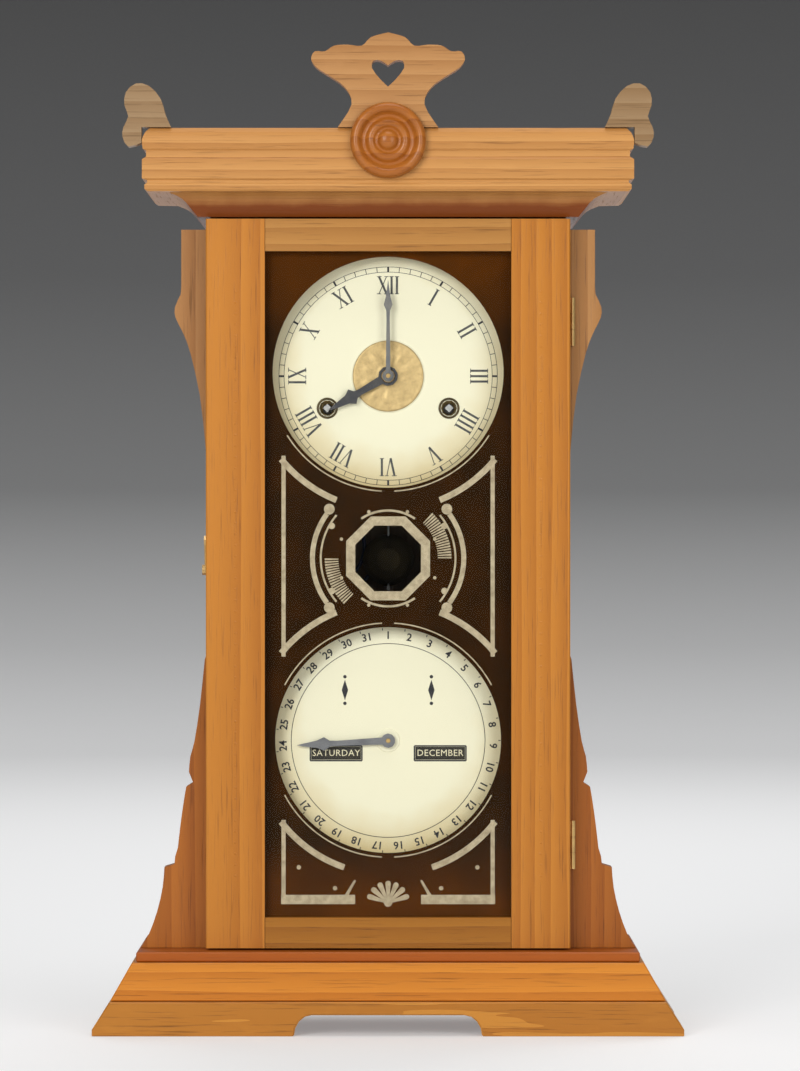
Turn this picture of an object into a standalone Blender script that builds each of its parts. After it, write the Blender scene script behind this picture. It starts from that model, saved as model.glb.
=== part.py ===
"""Double-dial calendar shelf clock in a golden oak case, modelled piece by piece.

Lengths are in metres and +Z is up. The dials face -Y, and the origin lies on the floor
under the middle of the case.
"""

import math

import bmesh
import bpy
from mathutils import Matrix, Vector

# Fits and fineness shared by the whole clock
GAP = 0.0003
RUNNING_CLEARANCE = 0.0005
CUT_OVERRUN = 0.002
WELD = 0.000001
EDGE_ROUND = 0.0008
ROUND_STEPS = 24
SMALL_ROUND_STEPS = 10
DIAL_STEPS = 48
CURVE_STEPS = 3
SHORT_CURVE_STEPS = 2
SMOOTH_ANGLE = math.radians(35)

# Case as a whole
CASE_DEPTH = 0.140
CASE_HALF_WIDTH = 0.111
SIDE_THICKNESS = 0.010
BACK_THICKNESS = 0.006
FRONT_SETBACK = 0.034

# Base with its bracket feet
FOOT_BAND_HEIGHT = 0.021
FOOT_BAND_THICKNESS = 0.012
FOOT_TOE_FLARE = 0.011
FOOT_FLARE = 0.0135
FOOT_TOE_HEIGHT = 0.004
FOOT_CUT_HALF_WIDTH = 0.058
FOOT_CUT_HEIGHT = 0.013
FOOT_CUT_OGEE = 0.011
APRON_HEIGHT = 0.0237
APRON_THICKNESS = 0.010
APRON_SETBACK = 0.003
APRON_SIDE_REACH = 0.047
END_THICKNESS = 0.011
END_CUT_LENGTH = 0.070
END_CUT_HEIGHT = 0.009
LEDGE_THICKNESS = 0.006
LEDGE_SIDE_INSET = 0.0025
LEDGE_SETBACK = 0.006

# Cornice, its crest and its ears
BODY_HEIGHT = 0.4545
CORNICE_HEIGHT = 0.054
CORNICE_SIDE_REACH = 0.041
CORNICE_FRONT_REACH = 0.026
CORNICE_BOARD_THICKNESS = 0.009
TOP_BOARD_THICKNESS = 0.008
CREST_HEIGHT = 0.0585
CREST_HALF_WIDTH = 0.0475
CREST_THICKNESS = 0.012
CREST_FOOT_HALF_WIDTH = 0.031
CREST_NECK_HALF_WIDTH = 0.0225
HEART_HALF_WIDTH = 0.0105
HEART_HEIGHT = 0.016
HEART_RISE = 0.025
ROSETTE_RADIUS = 0.0235
ROSETTE_THICKNESS = 0.0077
ROSETTE_DROP = 0.008
EAR_HEIGHT = 0.027
EAR_WIDTH = 0.030
EAR_OVERHANG = 0.012
EAR_THICKNESS = 0.012
EAR_DROP = 0.012

# Side wings
WING_THICKNESS = 0.016
WING_SETBACK = 0.002
UPPER_WING_LENGTH = 0.161
UPPER_WING_REACH = 0.018
UPPER_WING_DROP = 0.007
LOWER_WING_HEIGHT = 0.189
LOWER_WING_REACH = 0.043

# Door
DOOR_SIDE_OVERHANG = 0.002
DOOR_THICKNESS = 0.012
DOOR_CASE_GAP = 0.0019
DOOR_LOWER_CLEARANCE = 0.001
DOOR_UPPER_CLEARANCE = 0.0012
STILE_WIDTH = 0.0365
TOP_RAIL_HEIGHT = 0.020
BOTTOM_RAIL_HEIGHT = 0.019
REBATE_WIDTH = 0.004
SIGHT_LIP = 0.0055
GLASS_THICKNESS = 0.0022
HINGE_HEIGHT_SHARES = (0.14, 0.86)
HINGE_LENGTH = 0.030
HINGE_LEAF_WIDTH = 0.009
HINGE_LEAF_THICKNESS = 0.0005
HINGE_KNUCKLE_RADIUS = 0.0017
HINGE_PIN_RADIUS = 0.0008
HINGE_OUTSET = 0.002
HOOK_HEIGHT = 0.287
HOOK_THICKNESS = 0.0014
HOOK_REACH = 0.022
HOOK_SETBACK = 0.014
HOOK_SPACER_RADIUS = 0.0020
HOOK_HEAD_RADIUS = 0.0034
HOOK_HEAD_HEIGHT = 0.0016
HOOK_WIDTH = 0.0044
HOOK_RAISED = math.radians(60)
HOOK_NIB = 0.0026

# Dials and hands
TIME_DIAL_Z = 0.408
CALENDAR_DIAL_Z = 0.1805
DIAL_RADIUS = 0.0755
DIAL_SHEET = 0.0008
DIAL_RIM_DEPTH = 0.003
DIAL_SETBACK = 0.0075
DIAL_HOLE_CLEARANCE = 0.0008
DIAL_CENTRE_RADIUS = 0.0225
EMBOSS_HEIGHT = 0.0005
DATE_BOSS_RADIUS = 0.007
WINDING_HOLE_RADIUS = 0.005
WINDOW_OFFSET = 0.0325
WINDOW_DROP = 0.0080
WINDOW_WIDTH = 0.031
WINDOW_HEIGHT = 0.008
UPRIGHT_THICKNESS = 0.006
UPRIGHT_INNER_HALF = 0.067
HAND_THICKNESS = 0.0008
HOUR_HAND_STANDOFF = 0.0040
HOUR_HAND_LENGTH = 0.043
HOUR_HAND_WIDTH = 0.0052
HOUR_COLLAR_RADIUS = 0.0062
HOUR_SPADE_SHARE = 0.56
SHOWN_HOUR = 8
MINUTE_HAND_STANDOFF = 0.0067
MINUTE_HAND_LENGTH = 0.060
MINUTE_HAND_WIDTH = 0.0027
MINUTE_SPADE_SHARE = 0.70
MINUTE_COLLAR_RADIUS = 0.0038
MINUTE_POST_RADIUS = 0.0013
HAND_NUT_RADIUS = 0.0026
HAND_NUT_HEIGHT = 0.0022

# Plates of the time movement
MOVEMENT_SETBACK_SHARE = 0.2366
PLATE_THICKNESS = 0.002
PLATE_SPACING_SHARE = 0.4144
PLATE_HALF_WIDTH = 0.050
PLATE_RISE = 0.067
PLATE_DROP = 0.051
PLATE_MARGIN = 0.010
PILLAR_INSET = 0.007
PILLAR_RADIUS = 0.003
PIVOT_RADIUS = 0.0009
PIVOT_PROUD = 0.0006
COCK_WIDTH = 0.008
COCK_RISE = 0.002
COCK_THICKNESS = 0.004

# Wheels, pinions and springs
WINDING_OFFSET = 0.038
WINDING_DROP = 0.020
THIRD_OFFSET = 0.012
THIRD_RISE = 0.0208
ESCAPE_RISE = 0.0388
VERGE_RISE = 0.056
MINUTE_OFFSET = 0.0192
TOOTH_TIP_SHARE = 0.80
TOOTH_ROOT_SHARE = 1.25
LEAF_ROOT_SHARE = 0.26
LEAF_TIP_SHARE = 0.10
CROSSING_GAP_SHARE = 0.10
WHEEL_ARMS = 4
WHEEL_RIM_WIDTH = 0.0022
WHEEL_THICKNESS = 0.0016
PINION_FACE = 0.005
CANNON_FACE = 0.0024
GREAT_TEETH = 48
GREAT_HUB_RADIUS = 0.008
CENTRE_LEAVES = 8
TRAIN_TEETH = 72
TRAIN_LEAVES = 7
TRAIN_HUB_RADIUS = 0.004
TRAIN_ARBOR_RADIUS = 0.0011
ESCAPE_TEETH = 42
ESCAPE_RADIUS = 0.012
CANNON_LEAVES = 12
MINUTE_TEETH = 36
MINUTE_LEAVES = 10
HOUR_TEETH = 40
MINUTE_STUD_RADIUS = 0.0013
CENTRE_ARBOR_RADIUS = 0.0024
PIPE_RADIUS = 0.0041
WINDING_ARBOR_RADIUS = 0.003
WINDING_PROUD = 0.0018
TIME_GREAT_DEPTH_SHARE = 0.795
STRIKE_GREAT_DEPTH_SHARE = 0.684
CENTRE_DEPTH_SHARE = 0.526
THIRD_DEPTH_SHARE = 0.316
ESCAPE_DEPTH_SHARE = 0.118
MINUTE_WHEEL_STANDOFF = 0.0036
HOUR_WHEEL_STANDOFF = 0.0074
RATCHET_TEETH = 16
RATCHET_RADIUS = 0.010
RATCHET_TOOTH = 0.0016
SPRING_TURNS = 4
SPRING_STEPS = 14
SPRING_RADIUS = 0.025
SPRING_STRIP = 0.0007
SPRING_DEPTH_SHARE = 0.079
SPRING_HEIGHT_SHARE = 0.368

# Verge, pendulum, hammer and gong
VERGE_PIVOT_RADIUS = 0.0009
VERGE_ARBOR_RADIUS = 0.0015
PALLET_CLEARANCE = 0.0011
PALLET_THICKNESS = 0.0012
PALLET_SPREAD = 34
PALLET_STEPS = 6
PALLET_OVERHANG = 0.0008
CRUTCH_THICKNESS = 0.001
CRUTCH_WIDTH = 0.002
CRUTCH_LENGTH = 0.030
PENDULUM_CLEARANCE = 0.006
PENDULUM_ROD_RADIUS = 0.0008
PENDULUM_LENGTH = 0.171
BOB_RADIUS = 0.0165
BOB_THICKNESS = 0.007
RATING_NUT_RADIUS = 0.003
RATING_NUT_HEIGHT = 0.0024
HAMMER_OFFSET = 0.042
HAMMER_RISE = 0.045
HAMMER_REACH = 0.022
HAMMER_LENGTH = 0.126
HAMMER_WIRE_RADIUS = 0.001
HAMMER_HEAD_RADIUS = 0.005
HAMMER_HEAD_LENGTH = 0.014
GONG_OFFSET = 0.040
GONG_DROP = 0.108
GONG_RADIUS = 0.033
GONG_WIRE_RADIUS = 0.0013
GONG_TURNS = 3
GONG_STEPS = 16
GONG_BLOCK_RADIUS = 0.009
GONG_CLEARANCE = 0.003

# Calendar movement
CALENDAR_PLATE_CLEARANCE = 0.0127
CALENDAR_PLATE_HALF_WIDTH = 0.076
CALENDAR_PLATE_HALF_HEIGHT = 0.040
CALENDAR_MARGIN = 0.011
CALENDAR_BAR = 0.008
CALENDAR_PILLAR_X = 0.0715
CALENDAR_PILLAR_Z = 0.034
CALENDAR_PILLAR_RADIUS = 0.0025
ROLLER_RADIUS = 0.015
ROLLER_LENGTH = 0.036
ROLLER_ARBOR_RADIUS = 0.0015
ROLLER_DIAL_GAP = 0.001
BRACKET_THICKNESS = 0.002
BRACKET_HALF_HEIGHT = 0.005
BRACKET_CLEARANCE = 0.0006
BRACKET_NOSE = 0.0035
DATE_ARBOR_RADIUS = 0.002
DATE_POST_RADIUS = 0.0012
DATE_TEETH = 31
DATE_WHEEL_RADIUS = 0.026
DATE_WHEEL_CLEARANCE = 0.001
DATE_HAND_STANDOFF = 0.0033
DATE_HAND_LENGTH = 0.057
DATE_HAND_WIDTH = 0.0042
DATE_SPADE_SHARE = 0.66
DATE_COLLAR_RADIUS = 0.0045
SHOWN_DATE = 23
LIFT_WIRE_X = 0.030
LIFT_WIRE_RADIUS = 0.0009
LIFT_WHEEL_CLEARANCE = 0.0022
LIFT_PLATE_CLEARANCE = 0.0009
LIFT_TOP_DROP = 0.012
LIFT_FINGER = 0.012
LIFT_BEND_RISE = 0.056
LIFT_BEND_LENGTH = 0.045
GUIDE_SIZE = 0.006
PAWL_RISE = 0.006
PAWL_SIZE = 0.003
PAWL_REACH = 0.0032


def through(points, steps):
    """Points on a smooth curve through the given ones, a few for each span."""
    smooth = []
    last = len(points) - 1
    for index in range(last):
        before = Vector(points[max(index - 1, 0)])
        start = Vector(points[index])
        end = Vector(points[index + 1])
        after = Vector(points[min(index + 2, last)])
        for step in range(steps):
            t = step / steps
            lead = (end - before) * t
            bend = (2 * before - 5 * start + 4 * end - after) * t**2
            swing = (3 * start - before - 3 * end + after) * t**3
            smooth.append(tuple(start + (lead + bend + swing) / 2))
    smooth.append(tuple(points[last]))
    return smooth


def arc(centre, radius, start, end, steps):
    """Points on a circular arc between two angles in degrees, both ends included."""
    angles = [math.radians(start + (end - start) * step / steps) for step in range(steps + 1)]
    return [(centre[0] + radius * math.cos(a), centre[1] + radius * math.sin(a)) for a in angles]


def circle(centre, radius, steps):
    """Points once round a circle."""
    return arc(centre, radius, 0, 360, steps)[:-1]


def rectangle(left, right, bottom, top):
    """Corner points of an upright rectangle."""
    return [(left, bottom), (right, bottom), (right, top), (left, top)]


def mirrored(points, side):
    """The same outline for the right (1) or the left (-1) side of the clock."""
    return [(side * x, z) for x, z in points]


def sheet(loops, front, back):
    """Mesh of a flat sheet between two depths. The first loop is its outline, the rest are holes."""
    mesh = bmesh.new()
    edges = []
    for loop in loops:
        corners = [mesh.verts.new((x, front, z)) for x, z in loop]
        edges += [mesh.edges.new(pair) for pair in zip(corners, corners[1:] + corners[:1])]
    bmesh.ops.triangle_fill(mesh, use_beauty=True, use_dissolve=False, edges=edges)
    grown = bmesh.ops.extrude_face_region(mesh, geom=mesh.faces[:])
    moved = [item for item in grown["geom"] if isinstance(item, bmesh.types.BMVert)]
    bmesh.ops.translate(mesh, verts=moved, vec=(0, back - front, 0))
    return mesh


def turned(profile, steps):
    """Mesh of a profile of (radius, depth) points spun about the Y axis."""
    mesh = bmesh.new()
    points = [mesh.verts.new((radius, depth, 0)) for radius, depth in profile]
    edges = [mesh.edges.new(pair) for pair in zip(points, points[1:])]
    bmesh.ops.spin(
        mesh, geom=points + edges, cent=(0, 0, 0), axis=(0, 1, 0), angle=math.tau, steps=steps
    )
    return mesh


def rod(radius, front, back, steps=SMALL_ROUND_STEPS):
    """Mesh of a round rod along Y."""
    return turned([(0, front), (radius, front), (radius, back), (0, back)], steps)


def tube(inner, outer, front, back, steps=SMALL_ROUND_STEPS):
    """Mesh of a round tube along Y."""
    ring = [(inner, front), (outer, front), (outer, back), (inner, back), (inner, front)]
    return turned(ring, steps)


def block(low, high):
    """Mesh of a box between two corners."""
    return sheet([rectangle(low[0], high[0], low[2], high[2])], low[1], high[1])


def lying_along_x(mesh):
    """Turns a mesh made along Y so that it lies along X."""
    bmesh.ops.rotate(mesh, verts=mesh.verts, matrix=Matrix.Rotation(-math.pi / 2, 3, "Z"))
    return mesh


def standing(mesh):
    """Turns a mesh made along Y so that it stands along Z."""
    bmesh.ops.rotate(mesh, verts=mesh.verts, matrix=Matrix.Rotation(math.pi / 2, 3, "X"))
    return mesh


def shifted(mesh, offset):
    """Moves a mesh by an offset."""
    bmesh.ops.translate(mesh, verts=mesh.verts, vec=offset)
    return mesh


def solid(name, mesh, finish, origin=(0, 0, 0), angle=0):
    """Makes a named object of a mesh, placed at its origin and turned about Y."""
    bmesh.ops.remove_doubles(mesh, verts=mesh.verts, dist=WELD)
    bmesh.ops.recalc_face_normals(mesh, faces=mesh.faces)
    data = bpy.data.meshes.new(name)
    mesh.to_mesh(data)
    mesh.free()
    data.shade_smooth()
    data.set_sharp_from_angle(angle=SMOOTH_ANGLE)
    data.materials.append(finish)
    piece = bpy.data.objects.new(name, data)
    piece.location = origin
    piece.rotation_euler = (0, angle, 0)
    bpy.context.scene.collection.objects.link(piece)
    return piece


def combine(piece, operation, meshes):
    """Joins meshes to a piece or cuts them from it, in the piece's own frame."""
    for index, mesh in enumerate(meshes):
        helper = solid(f"{piece.name}_{operation.lower()}_{index}", mesh, piece.data.materials[0])
        helper.location = piece.location
        helper.rotation_euler = piece.rotation_euler
        helper.hide_render = True
        helper.display_type = "WIRE"
        modifier = piece.modifiers.new(helper.name, "BOOLEAN")
        modifier.operation = operation
        modifier.object = helper
        modifier.solver = "EXACT"
    return piece


def join(piece, *meshes):
    """Joins meshes to a piece."""
    return combine(piece, "UNION", meshes)


def cut(piece, *meshes):
    """Cuts meshes out of a piece."""
    return combine(piece, "DIFFERENCE", meshes)


def soften(piece, width=EDGE_ROUND):
    """Rounds the arrises of a board."""
    modifier = piece.modifiers.new("arris", "BEVEL")
    modifier.width = width
    modifier.segments = 1
    modifier.limit_method = "ANGLE"
    modifier.angle_limit = SMOOTH_ANGLE
    return piece


def finish_of(name, colour, roughness, metallic=0, alpha=1):
    """One plain surface finish."""
    finish = bpy.data.materials.new(name)
    finish.use_nodes = True
    shader = finish.node_tree.nodes["Principled BSDF"]
    shader.inputs["Base Color"].default_value = (*colour, 1)
    shader.inputs["Roughness"].default_value = roughness
    shader.inputs["Metallic"].default_value = metallic
    shader.inputs["Alpha"].default_value = alpha
    return finish


for leftover in list(bpy.data.objects):
    bpy.data.objects.remove(leftover, do_unlink=True)

OAK = finish_of("golden_oak", (0.52, 0.21, 0.05), 0.45)
DARK_OAK = finish_of("dark_oak", (0.30, 0.10, 0.02), 0.5)
PALE_WOOD = finish_of("pale_wood", (0.45, 0.30, 0.16), 0.7)
GLASS = finish_of("tablet_glass", (0.05, 0.05, 0.05), 0.05, 0, 0.35)
BRASS = finish_of("brass", (0.62, 0.42, 0.14), 0.3, 1)
STEEL = finish_of("steel", (0.32, 0.32, 0.34), 0.35, 1)
BLACK_STEEL = finish_of("blackened_steel", (0.02, 0.02, 0.025), 0.4, 1)
DIAL_WHITE = finish_of("dial_paper", (0.86, 0.84, 0.76), 0.6)
IRON = finish_of("cast_iron", (0.05, 0.05, 0.05), 0.6, 0.6)
BLACK_WOOD = finish_of("painted_wood", (0.03, 0.03, 0.03), 0.6)

# Levels and planes that the pieces share
FRONT_Y = -CASE_DEPTH / 2
BACK_Y = CASE_DEPTH / 2
CASE_FRONT_Y = FRONT_Y + FRONT_SETBACK
APRON_LOW_Z = FOOT_BAND_HEIGHT + GAP
APRON_TOP_Z = APRON_LOW_Z + APRON_HEIGHT
LEDGE_LOW_Z = APRON_TOP_Z + GAP
LEDGE_TOP_Z = LEDGE_LOW_Z + LEDGE_THICKNESS
BODY_LOW_Z = LEDGE_TOP_Z + GAP
BODY_TOP_Z = BODY_LOW_Z + BODY_HEIGHT
CORNICE_LOW_Z = BODY_TOP_Z + GAP
CORNICE_TOP_Z = CORNICE_LOW_Z + CORNICE_HEIGHT
CREST_LOW_Z = CORNICE_TOP_Z + GAP
CASE_INNER_HALF = CASE_HALF_WIDTH - SIDE_THICKNESS
APRON_TOP_HALF_WIDTH = CASE_HALF_WIDTH + APRON_SIDE_REACH
FOOT_TOP_HALF_WIDTH = APRON_TOP_HALF_WIDTH + FOOT_FLARE
FOOT_HALF_WIDTH = FOOT_TOP_HALF_WIDTH + FOOT_TOE_FLARE
LEDGE_HALF_WIDTH = APRON_TOP_HALF_WIDTH - LEDGE_SIDE_INSET
CORNICE_HALF_WIDTH = CASE_HALF_WIDTH + CORNICE_SIDE_REACH
EAR_OUTER_HALF_WIDTH = CORNICE_HALF_WIDTH + EAR_OVERHANG
EAR_INNER_HALF_WIDTH = EAR_OUTER_HALF_WIDTH - EAR_WIDTH
BACK_INNER_Y = BACK_Y - BACK_THICKNESS
CORNICE_FRONT_Y = CASE_FRONT_Y - CORNICE_FRONT_REACH
SIDES = {"left": -1, "right": 1}


def flare_half_width(height):
    """Half the width of the flared base at a height above the floor."""
    if height >= APRON_LOW_Z:
        share = (height - APRON_LOW_Z) / APRON_HEIGHT
        return FOOT_TOP_HALF_WIDTH + (APRON_TOP_HALF_WIDTH - FOOT_TOP_HALF_WIDTH) * share
    share = (height - FOOT_TOE_HEIGHT) / (FOOT_BAND_HEIGHT - FOOT_TOE_HEIGHT)
    return FOOT_HALF_WIDTH + (FOOT_TOP_HALF_WIDTH - FOOT_HALF_WIDTH) * max(share, 0)


def base_front():
    """Lower band of the base, sawn below into two bracket feet."""
    inner = FOOT_CUT_HALF_WIDTH - FOOT_CUT_OGEE
    hook = arc((inner, 0), FOOT_CUT_OGEE, 0, 90, 4)
    ogee = [(x, z * FOOT_CUT_HEIGHT / FOOT_CUT_OGEE) for x, z in hook]
    half = [
        *reversed(ogee),
        (FOOT_HALF_WIDTH, 0),
        (FOOT_HALF_WIDTH, FOOT_TOE_HEIGHT),
        (FOOT_TOP_HALF_WIDTH, FOOT_BAND_HEIGHT),
    ]
    outline = half + list(reversed(mirrored(half, -1)))
    band = solid("base_front", sheet([outline], FRONT_Y, FRONT_Y + FOOT_BAND_THICKNESS), OAK)
    return soften(band)


def apron():
    """Upper board of the base front, set back a little over the feet."""
    front = FRONT_Y + APRON_SETBACK
    outline = [
        (-FOOT_TOP_HALF_WIDTH, APRON_LOW_Z),
        (FOOT_TOP_HALF_WIDTH, APRON_LOW_Z),
        (APRON_TOP_HALF_WIDTH, APRON_TOP_Z),
        (-APRON_TOP_HALF_WIDTH, APRON_TOP_Z),
    ]
    return soften(solid("apron", sheet([outline], front, front + APRON_THICKNESS), OAK))


def base_end(side_name, side):
    """Flared end board of the base, sawn below into a front and a back foot."""
    front = FRONT_Y + max(FOOT_BAND_THICKNESS, APRON_SETBACK + APRON_THICKNESS) + GAP
    outer = [(flare_half_width(z), z) for z in (0, FOOT_TOE_HEIGHT, APRON_LOW_Z, APRON_TOP_Z)]
    inner = [(x - END_THICKNESS, z) for x, z in reversed(outer)]
    flare = sheet([mirrored(outer + inner, side)], front, BACK_Y)
    board = solid(f"base_end_{side_name}", flare, DARK_OAK)
    middle = (front + BACK_Y) / 2
    low = (-FOOT_HALF_WIDTH - CUT_OVERRUN, middle - END_CUT_LENGTH / 2, -CUT_OVERRUN)
    high = (FOOT_HALF_WIDTH + CUT_OVERRUN, middle + END_CUT_LENGTH / 2, END_CUT_HEIGHT)
    return cut(board, block(low, high))


def base_board():
    """Ledge that closes the base and carries the case."""
    low = (-LEDGE_HALF_WIDTH, FRONT_Y + LEDGE_SETBACK, LEDGE_LOW_Z)
    return soften(solid("base_board", block(low, (LEDGE_HALF_WIDTH, BACK_Y, LEDGE_TOP_Z)), OAK))


def case_side(side_name, side):
    """Upright side board of the case."""
    low = (min(side * CASE_HALF_WIDTH, side * CASE_INNER_HALF), CASE_FRONT_Y, BODY_LOW_Z)
    high = (max(side * CASE_HALF_WIDTH, side * CASE_INNER_HALF), BACK_Y, BODY_TOP_Z)
    return solid(f"case_side_{side_name}", block(low, high), DARK_OAK)


def back_board():
    """Thin board that closes the case between its sides, with a tongue up inside the cornice."""
    half = CASE_INNER_HALF - GAP
    tongue = cornice_section()[-1][0] - GAP
    right = [
        (half, BODY_LOW_Z),
        (half, BODY_TOP_Z),
        (tongue, BODY_TOP_Z),
        (tongue, CORNICE_TOP_Z - TOP_BOARD_THICKNESS - GAP),
    ]
    outline = right + list(reversed(mirrored(right, -1)))
    return solid("back_board", sheet([outline], BACK_INNER_Y, BACK_Y), PALE_WOOD)


def cornice_profile():
    """Section of the crown moulding as (share of its reach, height above its foot) points."""
    cove_shares = [(0.34, 0), (0.40, 0.07), (0.52, 0.20), (0.68, 0.27)]
    soffit_shares = [(0.93, 0.275), (0.97, 0.30), (0.97, 0.35), (0.94, 0.37), (0.94, 0.40)]
    band_shares = [(1.0, 0.42), (1.0, 0.64), (0.95, 0.67), (0.95, 0.74)]
    cap_shares = [(0.99, 0.76), (1.0, 0.86), (0.96, 0.95), (0.90, 1.0)]
    shares = through(cove_shares, CURVE_STEPS) + soffit_shares + band_shares
    shares += through(cap_shares, SHORT_CURVE_STEPS)
    return [(reach, height * CORNICE_HEIGHT) for reach, height in shares]


def cornice_ring(reach_share, height):
    """Where one line of the moulding runs: its half width, its front plane and its level."""
    half = CASE_INNER_HALF + (CORNICE_HALF_WIDTH - CASE_INNER_HALF) * reach_share
    front = CASE_FRONT_Y - CORNICE_FRONT_REACH * reach_share
    return half, front, CORNICE_LOW_Z + height


def cornice_section():
    """Mitre section of the moulding: its face, then its flat back."""
    face = [cornice_ring(share, height) for share, height in cornice_profile()]
    back_share = -CORNICE_BOARD_THICKNESS / CORNICE_FRONT_REACH
    return [*face, cornice_ring(back_share, CORNICE_HEIGHT), cornice_ring(back_share, 0)]


def lofted(start, end):
    """Mesh of a straight board whose two end sections have matching points."""
    mesh = bmesh.new()
    first = [mesh.verts.new(point) for point in start]
    last = [mesh.verts.new(point) for point in end]
    mesh.faces.new(first)
    mesh.faces.new(reversed(last))
    for index in range(len(first)):
        follower = (index + 1) % len(first)
        mesh.faces.new((first[index], first[follower], last[follower], last[index]))
    return mesh


def cornice_front():
    """Front length of the crown moulding, mitred at both ends."""
    section = cornice_section()
    left = [(-half, y, z) for half, y, z in section]
    right = [(half, y, z) for half, y, z in section]
    return solid("cornice_front", lofted(left, right), OAK)


def cornice_return(side_name, side):
    """Side length of the crown moulding, mitred at the front and square at the back."""
    section = cornice_section()
    mitre_gap = GAP * math.sqrt(2)
    near = [(side * half, y + mitre_gap, z) for half, y, z in section]
    far = [(side * half, BACK_Y, z) for half, y, z in section]
    return solid(f"cornice_return_{side_name}", lofted(near, far), OAK)


def top_board():
    """Board that closes the top of the case inside the cornice."""
    half = cornice_section()[-1][0] - GAP
    low = (-half, CASE_FRONT_Y + CORNICE_BOARD_THICKNESS + GAP, CORNICE_TOP_Z - TOP_BOARD_THICKNESS)
    return solid("top_board", block(low, (half, BACK_Y, CORNICE_TOP_Z)), DARK_OAK)


def crest():
    """Sawn crest with a winged head and a pierced heart."""
    wing_shares = [
        (CREST_FOOT_HALF_WIDTH / CREST_HALF_WIDTH, 0),
        (CREST_NECK_HALF_WIDTH / CREST_HALF_WIDTH, 0.24),
        (0.56, 0.42),
        (0.78, 0.55),
        (0.93, 0.63),
        (1.0, 0.72),
        (0.95, 0.80),
        (0.82, 0.80),
        (0.70, 0.86),
        (0.52, 0.87),
        (0.34, 0.86),
        (0.22, 0.95),
        (0, 1.0),
    ]
    curve_shares = through(wing_shares, CURVE_STEPS)
    half = [(x * CREST_HALF_WIDTH, CREST_LOW_Z + z * CREST_HEIGHT) for x, z in curve_shares]
    outline = half + list(reversed(mirrored(half[:-1], -1)))
    lobe_shares = [(0, 0), (0.45, 0.28), (0.95, 0.72), (0.85, 1.0), (0.42, 1.0), (0, 0.82)]
    base = CREST_LOW_Z + HEART_RISE
    heart_shares = through(lobe_shares, SHORT_CURVE_STEPS)
    heart = [(x * HEART_HALF_WIDTH, base + z * HEART_HEIGHT) for x, z in heart_shares]
    hole = heart + list(reversed(mirrored(heart[1:-1], -1)))
    board = sheet([outline, hole], CORNICE_FRONT_Y, CORNICE_FRONT_Y + CREST_THICKNESS)
    return solid("crest_board", board, OAK)


def rosette():
    """Turned boss that covers the joint of the crest and the cornice."""
    front = FRONT_Y
    back = FRONT_Y + ROSETTE_THICKNESS
    depth = ROSETTE_THICKNESS
    shares = [(0, 0.10), (0.22, 0.18), (0.36, 0.55), (0.46, 0.72), (0.60, 0.60), (0.72, 0.12)]
    shares += [(0.82, 0), (0.93, 0.18), (1.0, 0.60)]
    face = [(radius * ROSETTE_RADIUS, front + fall * depth) for radius, fall in shares]
    profile = [*face, (ROSETTE_RADIUS, back), (0, back)]
    centre = (0, 0, CORNICE_TOP_Z - ROSETTE_DROP)
    return solid("rosette", turned(profile, ROUND_STEPS), OAK, centre)


def ear(side_name, side):
    """Scrolled ear that stands on the end of the cornice and laps over its corner."""
    corner = (CORNICE_HALF_WIDTH + GAP - EAR_INNER_HALF_WIDTH) / EAR_WIDTH
    lap = -EAR_DROP / EAR_HEIGHT
    scroll_shares = [
        (0, 0),
        (0.12, 0.30),
        (0.22, 0.66),
        (0.45, 0.94),
        (0.72, 1.0),
        (0.93, 0.80),
        (0.96, 0.50),
        (0.88, 0.25),
        (0.98, 0),
        (1.0, 0.5 * lap),
        (0.88, lap),
        (corner, 0.8 * lap),
    ]
    curve_shares = [*through(scroll_shares, SHORT_CURVE_STEPS), (corner, 0)]
    curl = [
        (EAR_INNER_HALF_WIDTH + x * EAR_WIDTH, CREST_LOW_Z + z * EAR_HEIGHT) for x, z in curve_shares
    ]
    outline = mirrored(curl, side)
    front = CORNICE_FRONT_Y
    return solid(f"ear_{side_name}", sheet([outline], front, front + EAR_THICKNESS), OAK)


def wing(name, side, shares, reach, low_z, height):
    """Sawn wing glued to the side of the case behind the door."""
    root = CASE_HALF_WIDTH + GAP
    profile = [(root + x * reach, low_z + z * height) for x, z in shares]
    outline = mirrored([(root, low_z), *profile, (root, low_z + height)], side)
    front = CASE_FRONT_Y + WING_SETBACK
    return solid(name, sheet([outline], front, front + WING_THICKNESS), DARK_OAK)


def upper_wing(side_name, side):
    """Upper wing: straight below the cornice, a small scroll, then a long hollow taper."""
    taper_shares = [(0.08, 0.04), (0.14, 0.16), (0.34, 0.36), (0.66, 0.52), (0.84, 0.58)]
    scroll_shares = [(0.96, 0.61), (1.18, 0.66), (1.20, 0.70), (1.0, 0.75)]
    straight_shares = [(0.98, 0.78), (0.98, 1.0)]
    low = BODY_TOP_Z - UPPER_WING_DROP - UPPER_WING_LENGTH
    shares = through(taper_shares, SHORT_CURVE_STEPS)
    shares += through(scroll_shares, SHORT_CURVE_STEPS) + straight_shares
    return wing(f"upper_wing_{side_name}", side, shares, UPPER_WING_REACH, low, UPPER_WING_LENGTH)


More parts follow.
